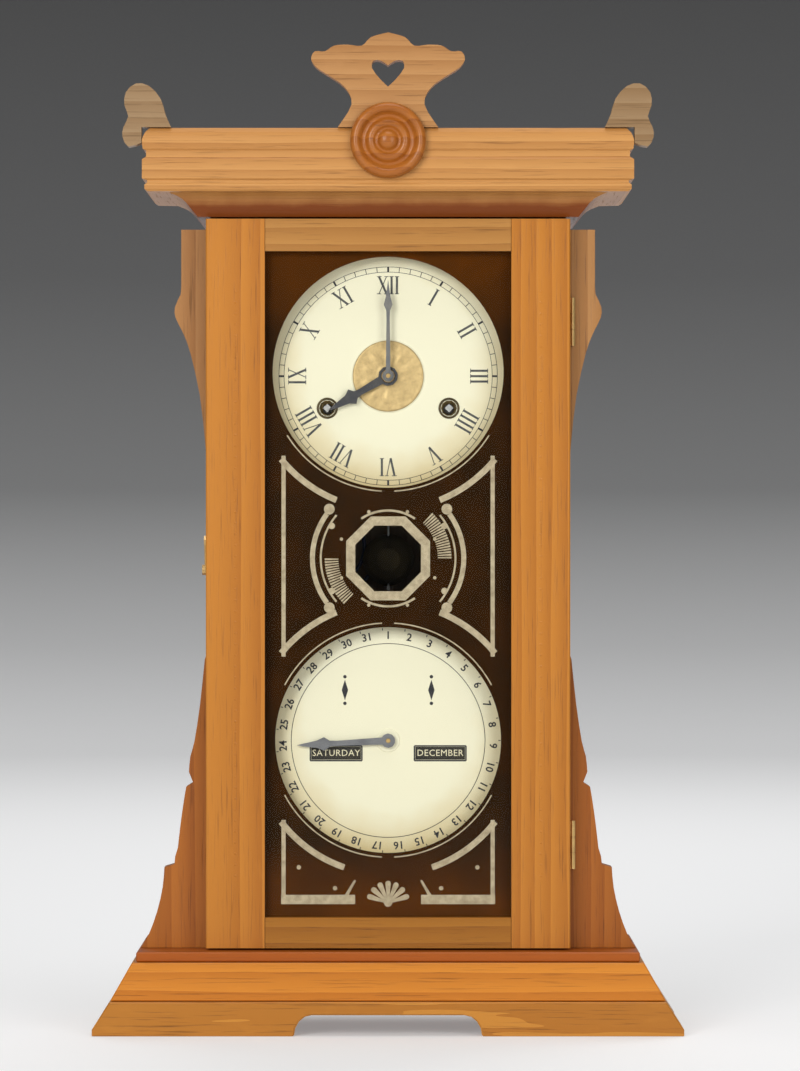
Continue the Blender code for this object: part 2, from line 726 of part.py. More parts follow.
def lower_wing(side_name, side):
    """Lower wing: a stepped flare that widens down to the base."""
    foot_shares = [(1.0, 0), (0.88, 0.045), (0.76, 0.12), (0.68, 0.20), (0.655, 0.265)]
    step_shares = [(0.51, 0.275), (0.50, 0.30)]
    middle_shares = [(0.46, 0.33), (0.42, 0.41), (0.37, 0.49), (0.34, 0.53)]
    notch_shares = [(0.24, 0.545)]
    bead_shares = [(0.30, 0.58), (0.28, 0.63), (0.22, 0.68), (0.14, 0.80), (0.07, 0.95)]
    shares = through(foot_shares, SHORT_CURVE_STEPS) + step_shares
    shares += through(middle_shares, SHORT_CURVE_STEPS) + notch_shares
    shares += through(bead_shares, SHORT_CURVE_STEPS)
    name = f"lower_wing_{side_name}"
    return wing(name, side, shares, LOWER_WING_REACH, BODY_LOW_Z, LOWER_WING_HEIGHT)


def case():
    """Every fixed board of the case."""
    base_front()
    apron()
    base_board()
    back_board()
    cornice_front()
    top_board()
    crest()
    rosette()
    for side_name, side in SIDES.items():
        base_end(side_name, side)
        case_side(side_name, side)
        cornice_return(side_name, side)
        ear(side_name, side)
        upper_wing(side_name, side)
        lower_wing(side_name, side)


# Planes of the door
DOOR_LOW_Z = BODY_LOW_Z + DOOR_LOWER_CLEARANCE
DOOR_TOP_Z = BODY_TOP_Z - DOOR_UPPER_CLEARANCE
DOOR_BACK_Y = CASE_FRONT_Y - DOOR_CASE_GAP
DOOR_FRONT_Y = DOOR_BACK_Y - DOOR_THICKNESS
DOOR_HALF_WIDTH = CASE_HALF_WIDTH + DOOR_SIDE_OVERHANG
SIGHT_HALF_WIDTH = DOOR_HALF_WIDTH - STILE_WIDTH
SIGHT_LOW_Z = DOOR_LOW_Z + BOTTOM_RAIL_HEIGHT
SIGHT_TOP_Z = DOOR_TOP_Z - TOP_RAIL_HEIGHT
LIP_Y = DOOR_FRONT_Y + SIGHT_LIP
GLASS_FRONT_Y = LIP_Y + GAP
GLASS_BACK_Y = GLASS_FRONT_Y + GLASS_THICKNESS
HINGE_X = DOOR_HALF_WIDTH + HINGE_OUTSET
HINGE_Y = (DOOR_BACK_Y + CASE_FRONT_Y) / 2


def axis_empty(name, point, pieces):
    """Hangs pieces on an empty that stands on their joint's axis."""
    pivot = bpy.data.objects.new(name, None)
    pivot.location = point
    bpy.context.scene.collection.objects.link(pivot)
    for piece in pieces:
        piece.parent = pivot
        piece.matrix_parent_inverse = Matrix.Translation(point).inverted()


def door_stile(side_name, side):
    """Full-height upright of the door, rebated behind for the glass."""
    section = [
        (SIGHT_HALF_WIDTH, DOOR_FRONT_Y),
        (DOOR_HALF_WIDTH - EDGE_ROUND, DOOR_FRONT_Y),
        (DOOR_HALF_WIDTH, DOOR_FRONT_Y + EDGE_ROUND),
        (DOOR_HALF_WIDTH, DOOR_BACK_Y),
        (SIGHT_HALF_WIDTH + REBATE_WIDTH, DOOR_BACK_Y),
        (SIGHT_HALF_WIDTH + REBATE_WIDTH, LIP_Y),
        (SIGHT_HALF_WIDTH, LIP_Y),
    ]
    low = [(side * x, y, DOOR_LOW_Z) for x, y in section]
    high = [(side * x, y, DOOR_TOP_Z) for x, y in section]
    return solid(f"door_stile_{side_name}", lofted(low, high), OAK)


def door_rail(name, outer_z, sight_z):
    """Cross rail of the door between the stiles, rebated behind for the glass."""
    towards = math.copysign(REBATE_WIDTH, outer_z - sight_z)
    section = [
        (DOOR_FRONT_Y, outer_z),
        (DOOR_FRONT_Y, sight_z),
        (LIP_Y, sight_z),
        (LIP_Y, sight_z + towards),
        (DOOR_BACK_Y, sight_z + towards),
        (DOOR_BACK_Y, outer_z),
    ]
    half = SIGHT_HALF_WIDTH - GAP
    left = [(-half, y, z) for y, z in section]
    right = [(half, y, z) for y, z in section]
    return solid(name, lofted(left, right), OAK)


def door_glass():
    """Long pane in the rebate."""
    spread = REBATE_WIDTH - GAP
    low = (-SIGHT_HALF_WIDTH - spread, GLASS_FRONT_Y, SIGHT_LOW_Z - spread)
    high = (SIGHT_HALF_WIDTH + spread, GLASS_BACK_Y, SIGHT_TOP_Z + spread)
    return solid("door_glass", block(low, high), GLASS)


def hinge(level_name, middle_z):
    """Butt hinge: a leaf with its pin on the case, and a leaf with two knuckles on the door."""
    third = HINGE_LENGTH / 3
    half = HINGE_LENGTH / 2
    leaf_left = HINGE_X - HINGE_OUTSET - HINGE_LEAF_WIDTH
    case_leaf_low = (leaf_left, CASE_FRONT_Y - GAP - HINGE_LEAF_THICKNESS, middle_z - half)
    case_leaf = block(case_leaf_low, (HINGE_X, CASE_FRONT_Y - GAP, middle_z + half))
    relief = HINGE_KNUCKLE_RADIUS + GAP
    fixed = solid(f"hinge_{level_name}_fixed", case_leaf, BRASS)
    for start in (-half, third / 2):
        low = (HINGE_X - relief, HINGE_Y - relief, middle_z + start - GAP)
        high = (HINGE_X + relief, HINGE_Y + relief, middle_z + start + third + GAP)
        cut(fixed, block(low, high))
    at = (HINGE_X, HINGE_Y, middle_z)
    knuckle = rod(HINGE_KNUCKLE_RADIUS, -third / 2 + GAP, third / 2 - GAP)
    pin = rod(HINGE_PIN_RADIUS, -half, half)
    join(fixed, shifted(standing(knuckle), at), shifted(standing(pin), at))
    door_leaf_low = (leaf_left, DOOR_BACK_Y + GAP, middle_z - half)
    door_leaf_high = (HINGE_X, DOOR_BACK_Y + GAP + HINGE_LEAF_THICKNESS, middle_z + half)
    moving = solid(f"hinge_{level_name}_moving", block(door_leaf_low, door_leaf_high), BRASS)
    low = (HINGE_X - relief, HINGE_Y - relief, middle_z - third / 2 - GAP)
    cut(moving, block(low, (HINGE_X + relief, HINGE_Y + relief, middle_z + third / 2 + GAP)))
    ends = [rod(HINGE_KNUCKLE_RADIUS, start, start + third) for start in (-half, third / 2)]
    join(moving, *[shifted(standing(end), at) for end in ends])
    bore = rod(HINGE_PIN_RADIUS + GAP, -half - CUT_OVERRUN, half + CUT_OVERRUN)
    cut(moving, shifted(standing(bore), at))
    return moving


def door_hook():
    """Brass hook with its spacer on the left side of the case, drawn raised off the door."""
    outline = [
        *arc((0, 0), HOOK_WIDTH / 2, 90, -90, 5)[::-1],
        *arc((-HOOK_REACH, 0), HOOK_WIDTH / 2, 90, 180, 3),
        (-HOOK_REACH - HOOK_WIDTH / 2, -HOOK_WIDTH),
        (-HOOK_REACH + HOOK_NIB / 2, -HOOK_WIDTH),
        (-HOOK_REACH + HOOK_NIB / 2, -HOOK_WIDTH / 2),
    ]
    turn = Matrix.Rotation(-HOOK_RAISED, 2)
    raised = [tuple(turn @ Vector(point)) for point in outline]
    plate = sheet([raised], 0, HOOK_THICKNESS)
    bmesh.ops.rotate(plate, verts=plate.verts, matrix=Matrix.Rotation(math.pi / 2, 3, "Z"))
    origin = (-DOOR_HALF_WIDTH - GAP, CASE_FRONT_Y + HOOK_SETBACK, HOOK_HEIGHT)
    hook = solid("door_hook", plate, BRASS, origin)
    head = rod(HOOK_HEAD_RADIUS, -HOOK_THICKNESS - HOOK_HEAD_HEIGHT, -HOOK_THICKNESS / 2)
    spacer = rod(HOOK_SPACER_RADIUS, -HOOK_THICKNESS / 2, DOOR_SIDE_OVERHANG)
    return join(hook, lying_along_x(head), lying_along_x(spacer))


def door():
    """Glazed door with its hinges, and the hook that holds it shut."""
    pieces = [
        door_rail("door_rail_top", DOOR_TOP_Z, SIGHT_TOP_Z),
        door_rail("door_rail_bottom", DOOR_LOW_Z, SIGHT_LOW_Z),
        door_glass(),
    ]
    for side_name, side in SIDES.items():
        pieces.append(door_stile(side_name, side))
    for level_name, share in zip(("lower", "upper"), HINGE_HEIGHT_SHARES):
        pieces.append(hinge(level_name, DOOR_LOW_Z + (DOOR_TOP_Z - DOOR_LOW_Z) * share))
    axis_empty("door_axis", (HINGE_X, HINGE_Y, DOOR_LOW_Z), pieces)
    door_hook()


# Planes of the dials and of the time movement
DIAL_FACE_Y = CASE_FRONT_Y + DIAL_SETBACK
DIAL_BACK_Y = DIAL_FACE_Y + DIAL_SHEET
UPRIGHT_FRONT_Y = DIAL_FACE_Y + DIAL_RIM_DEPTH + GAP
UPRIGHT_BACK_Y = UPRIGHT_FRONT_Y + UPRIGHT_THICKNESS
INNER_DEPTH = BACK_INNER_Y - DIAL_BACK_Y
HOUR_HAND_Y = DIAL_FACE_Y - HOUR_HAND_STANDOFF
MINUTE_HAND_Y = DIAL_FACE_Y - MINUTE_HAND_STANDOFF
DATE_HAND_Y = DIAL_FACE_Y - DATE_HAND_STANDOFF
FRONT_PLATE_Y = DIAL_BACK_Y + INNER_DEPTH * MOVEMENT_SETBACK_SHARE
FRONT_PLATE_BACK_Y = FRONT_PLATE_Y + PLATE_THICKNESS
PLATE_SPACING = INNER_DEPTH * PLATE_SPACING_SHARE
TIME_GREAT_Y = FRONT_PLATE_BACK_Y + PLATE_SPACING * TIME_GREAT_DEPTH_SHARE
STRIKE_GREAT_Y = FRONT_PLATE_BACK_Y + PLATE_SPACING * STRIKE_GREAT_DEPTH_SHARE
CENTRE_WHEEL_Y = FRONT_PLATE_BACK_Y + PLATE_SPACING * CENTRE_DEPTH_SHARE
THIRD_WHEEL_Y = FRONT_PLATE_BACK_Y + PLATE_SPACING * THIRD_DEPTH_SHARE
ESCAPE_WHEEL_Y = FRONT_PLATE_BACK_Y + PLATE_SPACING * ESCAPE_DEPTH_SHARE
SPRING_Y = FRONT_PLATE_BACK_Y + PLATE_SPACING * SPRING_DEPTH_SHARE
SPRING_HEIGHT = PLATE_SPACING * SPRING_HEIGHT_SHARE
MINUTE_WHEEL_Y = FRONT_PLATE_Y - MINUTE_WHEEL_STANDOFF
HOUR_WHEEL_Y = FRONT_PLATE_Y - HOUR_WHEEL_STANDOFF
BACK_PLATE_Y = FRONT_PLATE_BACK_Y + PLATE_SPACING
BACK_PLATE_BACK_Y = BACK_PLATE_Y + PLATE_THICKNESS
CENTRE = Vector((0, TIME_DIAL_Z))
CALENDAR_CENTRE = Vector((0, CALENDAR_DIAL_Z))
WINDING = {
    name: CENTRE + Vector((side * WINDING_OFFSET, -WINDING_DROP)) for name, side in SIDES.items()
}
THIRD = CENTRE + Vector((THIRD_OFFSET, THIRD_RISE))
ESCAPE = CENTRE + Vector((0, ESCAPE_RISE))
VERGE = CENTRE + Vector((0, VERGE_RISE))
MINUTE = CENTRE + Vector((MINUTE_OFFSET, 0))
HAMMER = CENTRE + Vector((-HAMMER_OFFSET, HAMMER_RISE))
GONG = CENTRE + Vector((-GONG_OFFSET, -GONG_DROP))
PENDULUM_Y = BACK_PLATE_BACK_Y + PENDULUM_CLEARANCE


def at(point, depth=0):
    """World place of a point of the dial plane."""
    return (point[0], depth, point[1])


def module_of(first, second, first_teeth, second_teeth):
    """Tooth module with which two wheels on the given centres mesh."""
    return 2 * (second - first).length / (first_teeth + second_teeth)


def bearing(start, end):
    """Angle from one centre to another."""
    return math.atan2(end[1] - start[1], end[0] - start[0])


def wheel_loop(teeth, module, phase):
    """Outline of a wheel with pointed teeth, one of them centred on the phase angle."""
    pitch = math.tau / teeth
    tip = (teeth / 2 + TOOTH_TIP_SHARE) * module
    root = (teeth / 2 - TOOTH_ROOT_SHARE) * module
    loop = []
    for tooth in range(teeth):
        middle = phase + tooth * pitch
        for radius, angle in ((tip, middle), (root, middle + pitch / 2)):
            loop.append((radius * math.cos(angle), radius * math.sin(angle)))
    return loop


def pinion_loop(leaves, module, phase):
    """Outline of a pinion with flat-topped leaves, a gap centred on the phase angle."""
    pitch = math.tau / leaves
    tip = (leaves / 2 + TOOTH_TIP_SHARE) * module
    root = (leaves / 2 - TOOTH_ROOT_SHARE) * module
    loop = []
    for leaf in range(leaves):
        middle = phase + (leaf + 1 / 2) * pitch
        rising = [(root, -LEAF_ROOT_SHARE), (tip, -LEAF_TIP_SHARE)]
        falling = [(tip, LEAF_TIP_SHARE), (root, LEAF_ROOT_SHARE)]
        for radius, share in rising + falling:
            angle = middle + share * pitch
            loop.append((radius * math.cos(angle), radius * math.sin(angle)))
    return loop


def crossings(inner, outer, count):
    """Openings that leave a wheel its arms."""
    openings = []
    for index in range(count):
        start = 360 * (index + CROSSING_GAP_SHARE) / count
        end = 360 * (index + 1 - CROSSING_GAP_SHARE) / count
        rim = arc((0, 0), outer, start, end, 3)
        hub = arc((0, 0), inner, end, start, 1)
        openings.append(rim + hub)
    return openings


def wheel(teeth, module, phase, hub, front, thickness, bore=0):
    """Mesh of a crossed-out wheel, with a bore where it runs loose."""
    rim = (teeth / 2 - TOOTH_ROOT_SHARE) * module - WHEEL_RIM_WIDTH
    loops = [wheel_loop(teeth, module, phase), *crossings(hub, rim, WHEEL_ARMS)]
    if bore:
        loops.append(circle((0, 0), bore, SMALL_ROUND_STEPS))
    return sheet(loops, front, front + thickness)


def pinion(leaves, module, phase, middle, face=0):
    """Mesh of a pinion centred on the plane of the wheel that it meets."""
    half = (face or PINION_FACE) / 2
    return sheet([pinion_loop(leaves, module, phase)], middle - half, middle + half)


def arbor(radius, pivot=0):
    """Mesh of an arbor between the plates with a pivot through each."""
    pivot = pivot or PIVOT_RADIUS
    front = FRONT_PLATE_BACK_Y + GAP
    back = BACK_PLATE_Y - GAP
    profile = [
        (0, FRONT_PLATE_Y - PIVOT_PROUD),
        (pivot, FRONT_PLATE_Y - PIVOT_PROUD),
        (pivot, front),
        (radius, front),
        (radius, back),
        (pivot, back),
        (pivot, BACK_PLATE_BACK_Y + PIVOT_PROUD),
        (0, BACK_PLATE_BACK_Y + PIVOT_PROUD),
    ]
    return turned(profile, SMALL_ROUND_STEPS)


def dial_pan(name, centre, hole, boss_radius, boss_height):
    """Sheet-metal dial with a raised centre, a turned-back rim and a hole for its hands."""
    edge = DIAL_RADIUS - DIAL_SHEET
    profile = [
        (hole, DIAL_FACE_Y - boss_height),
        (boss_radius, DIAL_FACE_Y - boss_height),
        (boss_radius + boss_height, DIAL_FACE_Y),
        (edge, DIAL_FACE_Y),
        (DIAL_RADIUS, DIAL_FACE_Y + DIAL_SHEET),
        (DIAL_RADIUS, DIAL_FACE_Y + DIAL_RIM_DEPTH),
        (edge, DIAL_FACE_Y + DIAL_RIM_DEPTH),
        (edge, DIAL_BACK_Y),
        (hole, DIAL_BACK_Y),
        (hole, DIAL_FACE_Y - boss_height),
    ]
    return solid(name, turned(profile, DIAL_STEPS), DIAL_WHITE, at(centre))


def time_dial():
    """Upper dial with its embossed centre and two winding holes."""
    hole = PIPE_RADIUS + DIAL_HOLE_CLEARANCE
    pan = dial_pan("time_dial", CENTRE, hole, DIAL_CENTRE_RADIUS, EMBOSS_HEIGHT)
    for side in SIDES.values():
        hole = rod(WINDING_HOLE_RADIUS, DIAL_FACE_Y - CUT_OVERRUN, DIAL_BACK_Y + CUT_OVERRUN)
        cut(pan, shifted(hole, (side * WINDING_OFFSET, 0, -WINDING_DROP)))
    return pan


def calendar_dial():
    """Lower dial with a window for the day and one for the month."""
    hole = DATE_ARBOR_RADIUS + DIAL_HOLE_CLEARANCE
    pan = dial_pan("calendar_dial", CALENDAR_CENTRE, hole, DATE_BOSS_RADIUS, EMBOSS_HEIGHT)
    for side in SIDES.values():
        middle = side * WINDOW_OFFSET
        low_z = -WINDOW_DROP - WINDOW_HEIGHT / 2
        low = (middle - WINDOW_WIDTH / 2, DIAL_FACE_Y - CUT_OVERRUN, low_z)
        high = (middle + WINDOW_WIDTH / 2, DIAL_BACK_Y + CUT_OVERRUN, low_z + WINDOW_HEIGHT)
        cut(pan, block(low, high))
    return pan


def dial_upright(side_name, side):
    """Strip inside the case to which both dials and the calendar frame are fixed."""
    wall = CASE_INNER_HALF - GAP
    low_x, high_x = sorted((side * UPRIGHT_INNER_HALF, side * wall))
    low = (low_x, UPRIGHT_FRONT_Y, BODY_LOW_Z)
    strip = block(low, (high_x, UPRIGHT_BACK_Y, BODY_TOP_Z))
    return solid(f"dial_upright_{side_name}", strip, PALE_WOOD)


def hand_outline(length, width, spade_share):
    """Outline of a hand that tapers, swells into a spade and ends in a point."""
    shares = [(0.55, 0), (0.38, spade_share - 0.10), (0.45, spade_share - 0.02)]
    shares += [(1.0, spade_share + 0.04), (0.55, spade_share + 0.12), (0.20, 0.93), (0, 1.0)]
    half = [(x * width, z * length) for x, z in shares]
    return half + list(reversed(mirrored(half[:-1], -1)))


def hand(name, centre, outline, collar, bore, front, angle):
    """A hand drawn upright on its collar and then turned clockwise to its angle."""
    back = front + HAND_THICKNESS
    piece = solid(name, sheet([outline], front, back), BLACK_STEEL, at(centre), angle)
    join(piece, rod(collar, front, back))
    return cut(piece, rod(bore, front - CUT_OVERRUN, back + CUT_OVERRUN))


def time_hands():
    """Hour hand on its pipe and minute hand with its nut on the centre arbor."""
    spade = hand_outline(HOUR_HAND_LENGTH, HOUR_HAND_WIDTH, HOUR_SPADE_SHARE)
    angle = math.tau * SHOWN_HOUR / 12
    bore = PIPE_RADIUS + GAP
    hand("hour_hand", CENTRE, spade, HOUR_COLLAR_RADIUS, bore, HOUR_HAND_Y, angle)
    spade = hand_outline(MINUTE_HAND_LENGTH, MINUTE_HAND_WIDTH, MINUTE_SPADE_SHARE)
    bore = MINUTE_POST_RADIUS + GAP
    minute = hand("minute_hand", CENTRE, spade, MINUTE_COLLAR_RADIUS, bore, MINUTE_HAND_Y, 0)
    nut_back = MINUTE_HAND_Y + HAND_THICKNESS / 2
    join(minute, tube(bore, HAND_NUT_RADIUS, MINUTE_HAND_Y - HAND_NUT_HEIGHT, nut_back))


def plate_outline():
    """Shield-shaped outline of the movement plates about the centre arbor."""
    half = [
        (PLATE_HALF_WIDTH, PLATE_RISE),
        (PLATE_HALF_WIDTH, -WINDING_DROP - PLATE_MARGIN / 2),
        (WINDING_OFFSET, -WINDING_DROP - PLATE_MARGIN * 3 / 2),
        (PLATE_MARGIN, -PLATE_DROP),
    ]
    return half + list(reversed(mirrored(half, -1)))


def pillar_rods():
    """Three pillars between the plates and four feet that reach the back board."""
    top = PLATE_RISE - PILLAR_INSET
    side = PLATE_HALF_WIDTH - PILLAR_INSET
    low = PILLAR_INSET - WINDING_DROP - PLATE_MARGIN / 2
    start = FRONT_PLATE_BACK_Y + GAP
    inside = BACK_PLATE_Y + PLATE_THICKNESS / 2
    wall = BACK_INNER_Y - GAP
    places = [((side, 0, top), start, wall), ((-side, 0, top), start, wall)]
    places += [((side, 0, low), inside, wall), ((-side, 0, low), inside, wall)]
    places.append(((0, 0, PILLAR_INSET - PLATE_DROP), start, inside))
    return [shifted(rod(PILLAR_RADIUS, front, back), place) for place, front, back in places]


def plate(name, front, holes):
    """One brass plate of the movement with its bearing holes."""
    loops = [plate_outline()]
    for place, radius in holes:
        loops.append(circle(tuple(place - CENTRE), radius, SMALL_ROUND_STEPS))
    return solid(name, sheet(loops, front, front + PLATE_THICKNESS), BRASS, at(CENTRE))


def movement_plates():
    """Front plate with the stud of the minute wheel, back plate with its pillars and cock."""
    pivot = PIVOT_RADIUS + GAP
    shared = [(THIRD, pivot), (ESCAPE, pivot), (HAMMER, pivot)]
    windings = [(place, WINDING_ARBOR_RADIUS + RUNNING_CLEARANCE) for place in WINDING.values()]
    centre_hole = (CENTRE, CENTRE_ARBOR_RADIUS + RUNNING_CLEARANCE)
    front_holes = [*shared, *windings, centre_hole, (VERGE, pivot)]
    front = plate("movement_front_plate", FRONT_PLATE_Y, front_holes)
    stud = rod(MINUTE_STUD_RADIUS, HOUR_WHEEL_Y - PINION_FACE / 2, FRONT_PLATE_BACK_Y - GAP)
    join(front, shifted(stud, (MINUTE_OFFSET, 0, 0)))
    rear_windings = [(place, PIVOT_RADIUS + GAP) for place in WINDING.values()]
    verge_hole = (VERGE, VERGE_ARBOR_RADIUS + RUNNING_CLEARANCE)
    rear_holes = [*shared, *rear_windings, (CENTRE, pivot), verge_hole]
    back = plate("movement_back_plate", BACK_PLATE_Y, rear_holes)
    join(back, *pillar_rods())
    cock_low = (-COCK_WIDTH / 2, BACK_PLATE_Y + PLATE_THICKNESS / 2, VERGE_RISE + COCK_RISE)
    cock_top = VERGE_RISE + COCK_RISE + COCK_THICKNESS
    join(back, block(cock_low, (COCK_WIDTH / 2, PENDULUM_Y + COCK_WIDTH / 2, cock_top)))


def spring_spiral():
    """Outline of a coiled spring strip seen from the front."""
    steps = SPRING_TURNS * SPRING_STEPS
    inner = WINDING_ARBOR_RADIUS + GAP
    growth = (SPRING_RADIUS - inner - SPRING_STRIP) / steps
    inside = []
    outside = []
    for step in range(steps + 1):
        angle = math.tau * step / SPRING_STEPS
        radius = inner + growth * step
        inside.append((radius * math.cos(angle), radius * math.sin(angle)))
        radius += SPRING_STRIP
        outside.append((radius * math.cos(angle), radius * math.sin(angle)))
    return inside + list(reversed(outside))


def ratchet_loop():
    """Outline of the click wheel on a winding arbor."""
    loop = []
    for tooth in range(RATCHET_TEETH):
        angle = math.tau * tooth / RATCHET_TEETH
        for radius in (RATCHET_RADIUS, RATCHET_RADIUS - RATCHET_TOOTH):
            loop.append((radius * math.cos(angle), radius * math.sin(angle)))
    return loop


def winding_train(name, side_name, wheel_y):
    """Winding arbor, the great wheel that runs loose on it, and its mainspring."""
    place = WINDING[side_name]
    module = module_of(place, CENTRE, GREAT_TEETH, CENTRE_LEAVES)
    phase = bearing(place, CENTRE)
    bore = WINDING_ARBOR_RADIUS + RUNNING_CLEARANCE
    great = wheel(GREAT_TEETH, module, phase, GREAT_HUB_RADIUS, wheel_y, WHEEL_THICKNESS, bore)
    solid(f"{name}_great_wheel", great, BRASS, at(place))
    profile = [
        (0, FRONT_PLATE_Y - GAP),
        (WINDING_ARBOR_RADIUS, FRONT_PLATE_Y - GAP),
        (WINDING_ARBOR_RADIUS, BACK_PLATE_Y - GAP),
        (PIVOT_RADIUS, BACK_PLATE_Y - GAP),
        (PIVOT_RADIUS, BACK_PLATE_BACK_Y + PIVOT_PROUD),
        (0, BACK_PLATE_BACK_Y + PIVOT_PROUD),
    ]
    winding = solid(f"{name}_winding_arbor", turned(profile, SMALL_ROUND_STEPS), STEEL, at(place))
    square = rod(WINDING_ARBOR_RADIUS - GAP, DIAL_FACE_Y - WINDING_PROUD, FRONT_PLATE_BACK_Y, 4)
    ratchet_front = wheel_y + WHEEL_THICKNESS + GAP
    ratchet = sheet([ratchet_loop()], ratchet_front, ratchet_front + WHEEL_THICKNESS)
    join(winding, square, ratchet)
    strip = sheet([spring_spiral()], SPRING_Y, SPRING_Y + SPRING_HEIGHT)
    solid(f"{name}_mainspring", strip, BLACK_STEEL, at(place))


def centre_arbor():
    """Centre arbor with its pinion, its wheel and the cannon pinion under the hands."""
    profile = [
        (0, MINUTE_HAND_Y - HAND_NUT_HEIGHT - GAP),
        (MINUTE_POST_RADIUS, MINUTE_HAND_Y - HAND_NUT_HEIGHT - GAP),
        (MINUTE_POST_RADIUS, MINUTE_HAND_Y + HAND_THICKNESS + GAP),
        (CENTRE_ARBOR_RADIUS, MINUTE_HAND_Y + HAND_THICKNESS + GAP),
        (CENTRE_ARBOR_RADIUS, BACK_PLATE_Y - GAP),
        (PIVOT_RADIUS, BACK_PLATE_Y - GAP),
        (PIVOT_RADIUS, BACK_PLATE_BACK_Y + PIVOT_PROUD),
        (0, BACK_PLATE_BACK_Y + PIVOT_PROUD),
    ]
    piece = solid("centre_arbor", turned(profile, SMALL_ROUND_STEPS), BRASS, at(CENTRE))
    place = WINDING["right"]
    drive = module_of(place, CENTRE, GREAT_TEETH, CENTRE_LEAVES)
    driven_y = TIME_GREAT_Y + WHEEL_THICKNESS / 2
    leaves = pinion(CENTRE_LEAVES, drive, bearing(CENTRE, place), driven_y)
    train = module_of(CENTRE, THIRD, TRAIN_TEETH, TRAIN_LEAVES)
    hub = CENTRE_LEAVES / 2 * drive
    phase = bearing(CENTRE, THIRD)
    turning = wheel(TRAIN_TEETH, train, phase, hub, CENTRE_WHEEL_Y, WHEEL_THICKNESS)
    motion = module_of(CENTRE, MINUTE, CANNON_LEAVES, MINUTE_TEETH)
    middle = MINUTE_WHEEL_Y + WHEEL_THICKNESS / 2
    cannon = pinion(CANNON_LEAVES, motion, bearing(CENTRE, MINUTE), middle, CANNON_FACE)
    join(piece, leaves, turning, cannon)


def going_train():
    """Third wheel, escape wheel and the verge with its crutch."""
    first = module_of(CENTRE, THIRD, TRAIN_TEETH, TRAIN_LEAVES)
    second = module_of(THIRD, ESCAPE, TRAIN_TEETH, TRAIN_LEAVES)
    third = solid("third_wheel", arbor(TRAIN_ARBOR_RADIUS), BRASS, at(THIRD))
    met = CENTRE_WHEEL_Y + WHEEL_THICKNESS / 2
    driven = pinion(TRAIN_LEAVES, first, bearing(THIRD, CENTRE), met)
    phase = bearing(THIRD, ESCAPE)
    driving = wheel(TRAIN_TEETH, second, phase, TRAIN_HUB_RADIUS, THIRD_WHEEL_Y, WHEEL_THICKNESS)
    join(third, driven, driving)
    escape = solid("escape_wheel", arbor(TRAIN_ARBOR_RADIUS), BRASS, at(ESCAPE))
    met = THIRD_WHEEL_Y + WHEEL_THICKNESS / 2
    driven = pinion(TRAIN_LEAVES, second, bearing(ESCAPE, THIRD), met)
    escape_module = ESCAPE_RADIUS / (ESCAPE_TEETH / 2 + TOOTH_TIP_SHARE)
    toothed = wheel(
        ESCAPE_TEETH, escape_module, 0, TRAIN_HUB_RADIUS, ESCAPE_WHEEL_Y, WHEEL_THICKNESS
    )
    join(escape, driven, toothed)


def anchor():
    """Meshes of the pallet arc over the escape wheel and of the stem that carries it."""
    drop = VERGE_RISE - ESCAPE_RISE
    inner = ESCAPE_RADIUS + PALLET_CLEARANCE
    outer = inner + PALLET_THICKNESS
    over = arc((0, -drop), inner, 90 - PALLET_SPREAD, 90 + PALLET_SPREAD, PALLET_STEPS)
    under = arc((0, -drop), outer, 90 + PALLET_SPREAD, 90 - PALLET_SPREAD, PALLET_STEPS)
    back = ESCAPE_WHEEL_Y + WHEEL_THICKNESS
    pallets = sheet([over + under], ESCAPE_WHEEL_Y - PALLET_OVERHANG, back + PALLET_OVERHANG)
    stem_low = (-PALLET_THICKNESS, ESCAPE_WHEEL_Y, (inner + outer) / 2 - drop)
    return [pallets, block(stem_low, (PALLET_THICKNESS, back, 0))]


def crutch():
    """Meshes of the crutch: its arm behind the back plate and the fork about the pendulum rod."""
    front = BACK_PLATE_BACK_Y + PIVOT_PROUD + GAP
    back = front + CRUTCH_THICKNESS
    inner = PENDULUM_ROD_RADIUS + RUNNING_CLEARANCE
    outer = inner + CRUTCH_THICKNESS
    low_z = -CRUTCH_LENGTH - CRUTCH_WIDTH
    meshes = [
        block((-CRUTCH_WIDTH / 2, front, -CRUTCH_LENGTH), (CRUTCH_WIDTH / 2, back, 0)),
        block((-outer, front, low_z), (outer, back, CRUTCH_WIDTH / 2 - CRUTCH_LENGTH)),
    ]
    for side in SIDES.values():
        low_x, high_x = sorted((side * inner, side * outer))
        high = (high_x, PENDULUM_Y + CRUTCH_WIDTH, -CRUTCH_LENGTH)
        meshes.append(block((low_x, front, low_z), high))
    return meshes


def verge():
    """Verge: an anchor over the escape wheel and a crutch that guides the pendulum rod."""
    piece = solid("verge", arbor(TRAIN_ARBOR_RADIUS, VERGE_PIVOT_RADIUS), STEEL, at(VERGE))
    sleeve_back = BACK_PLATE_BACK_Y + CRUTCH_THICKNESS * 2
    sleeve = rod(VERGE_ARBOR_RADIUS, BACK_PLATE_Y - CRUTCH_THICKNESS, sleeve_back)
    join(piece, sleeve, *anchor(), *crutch())


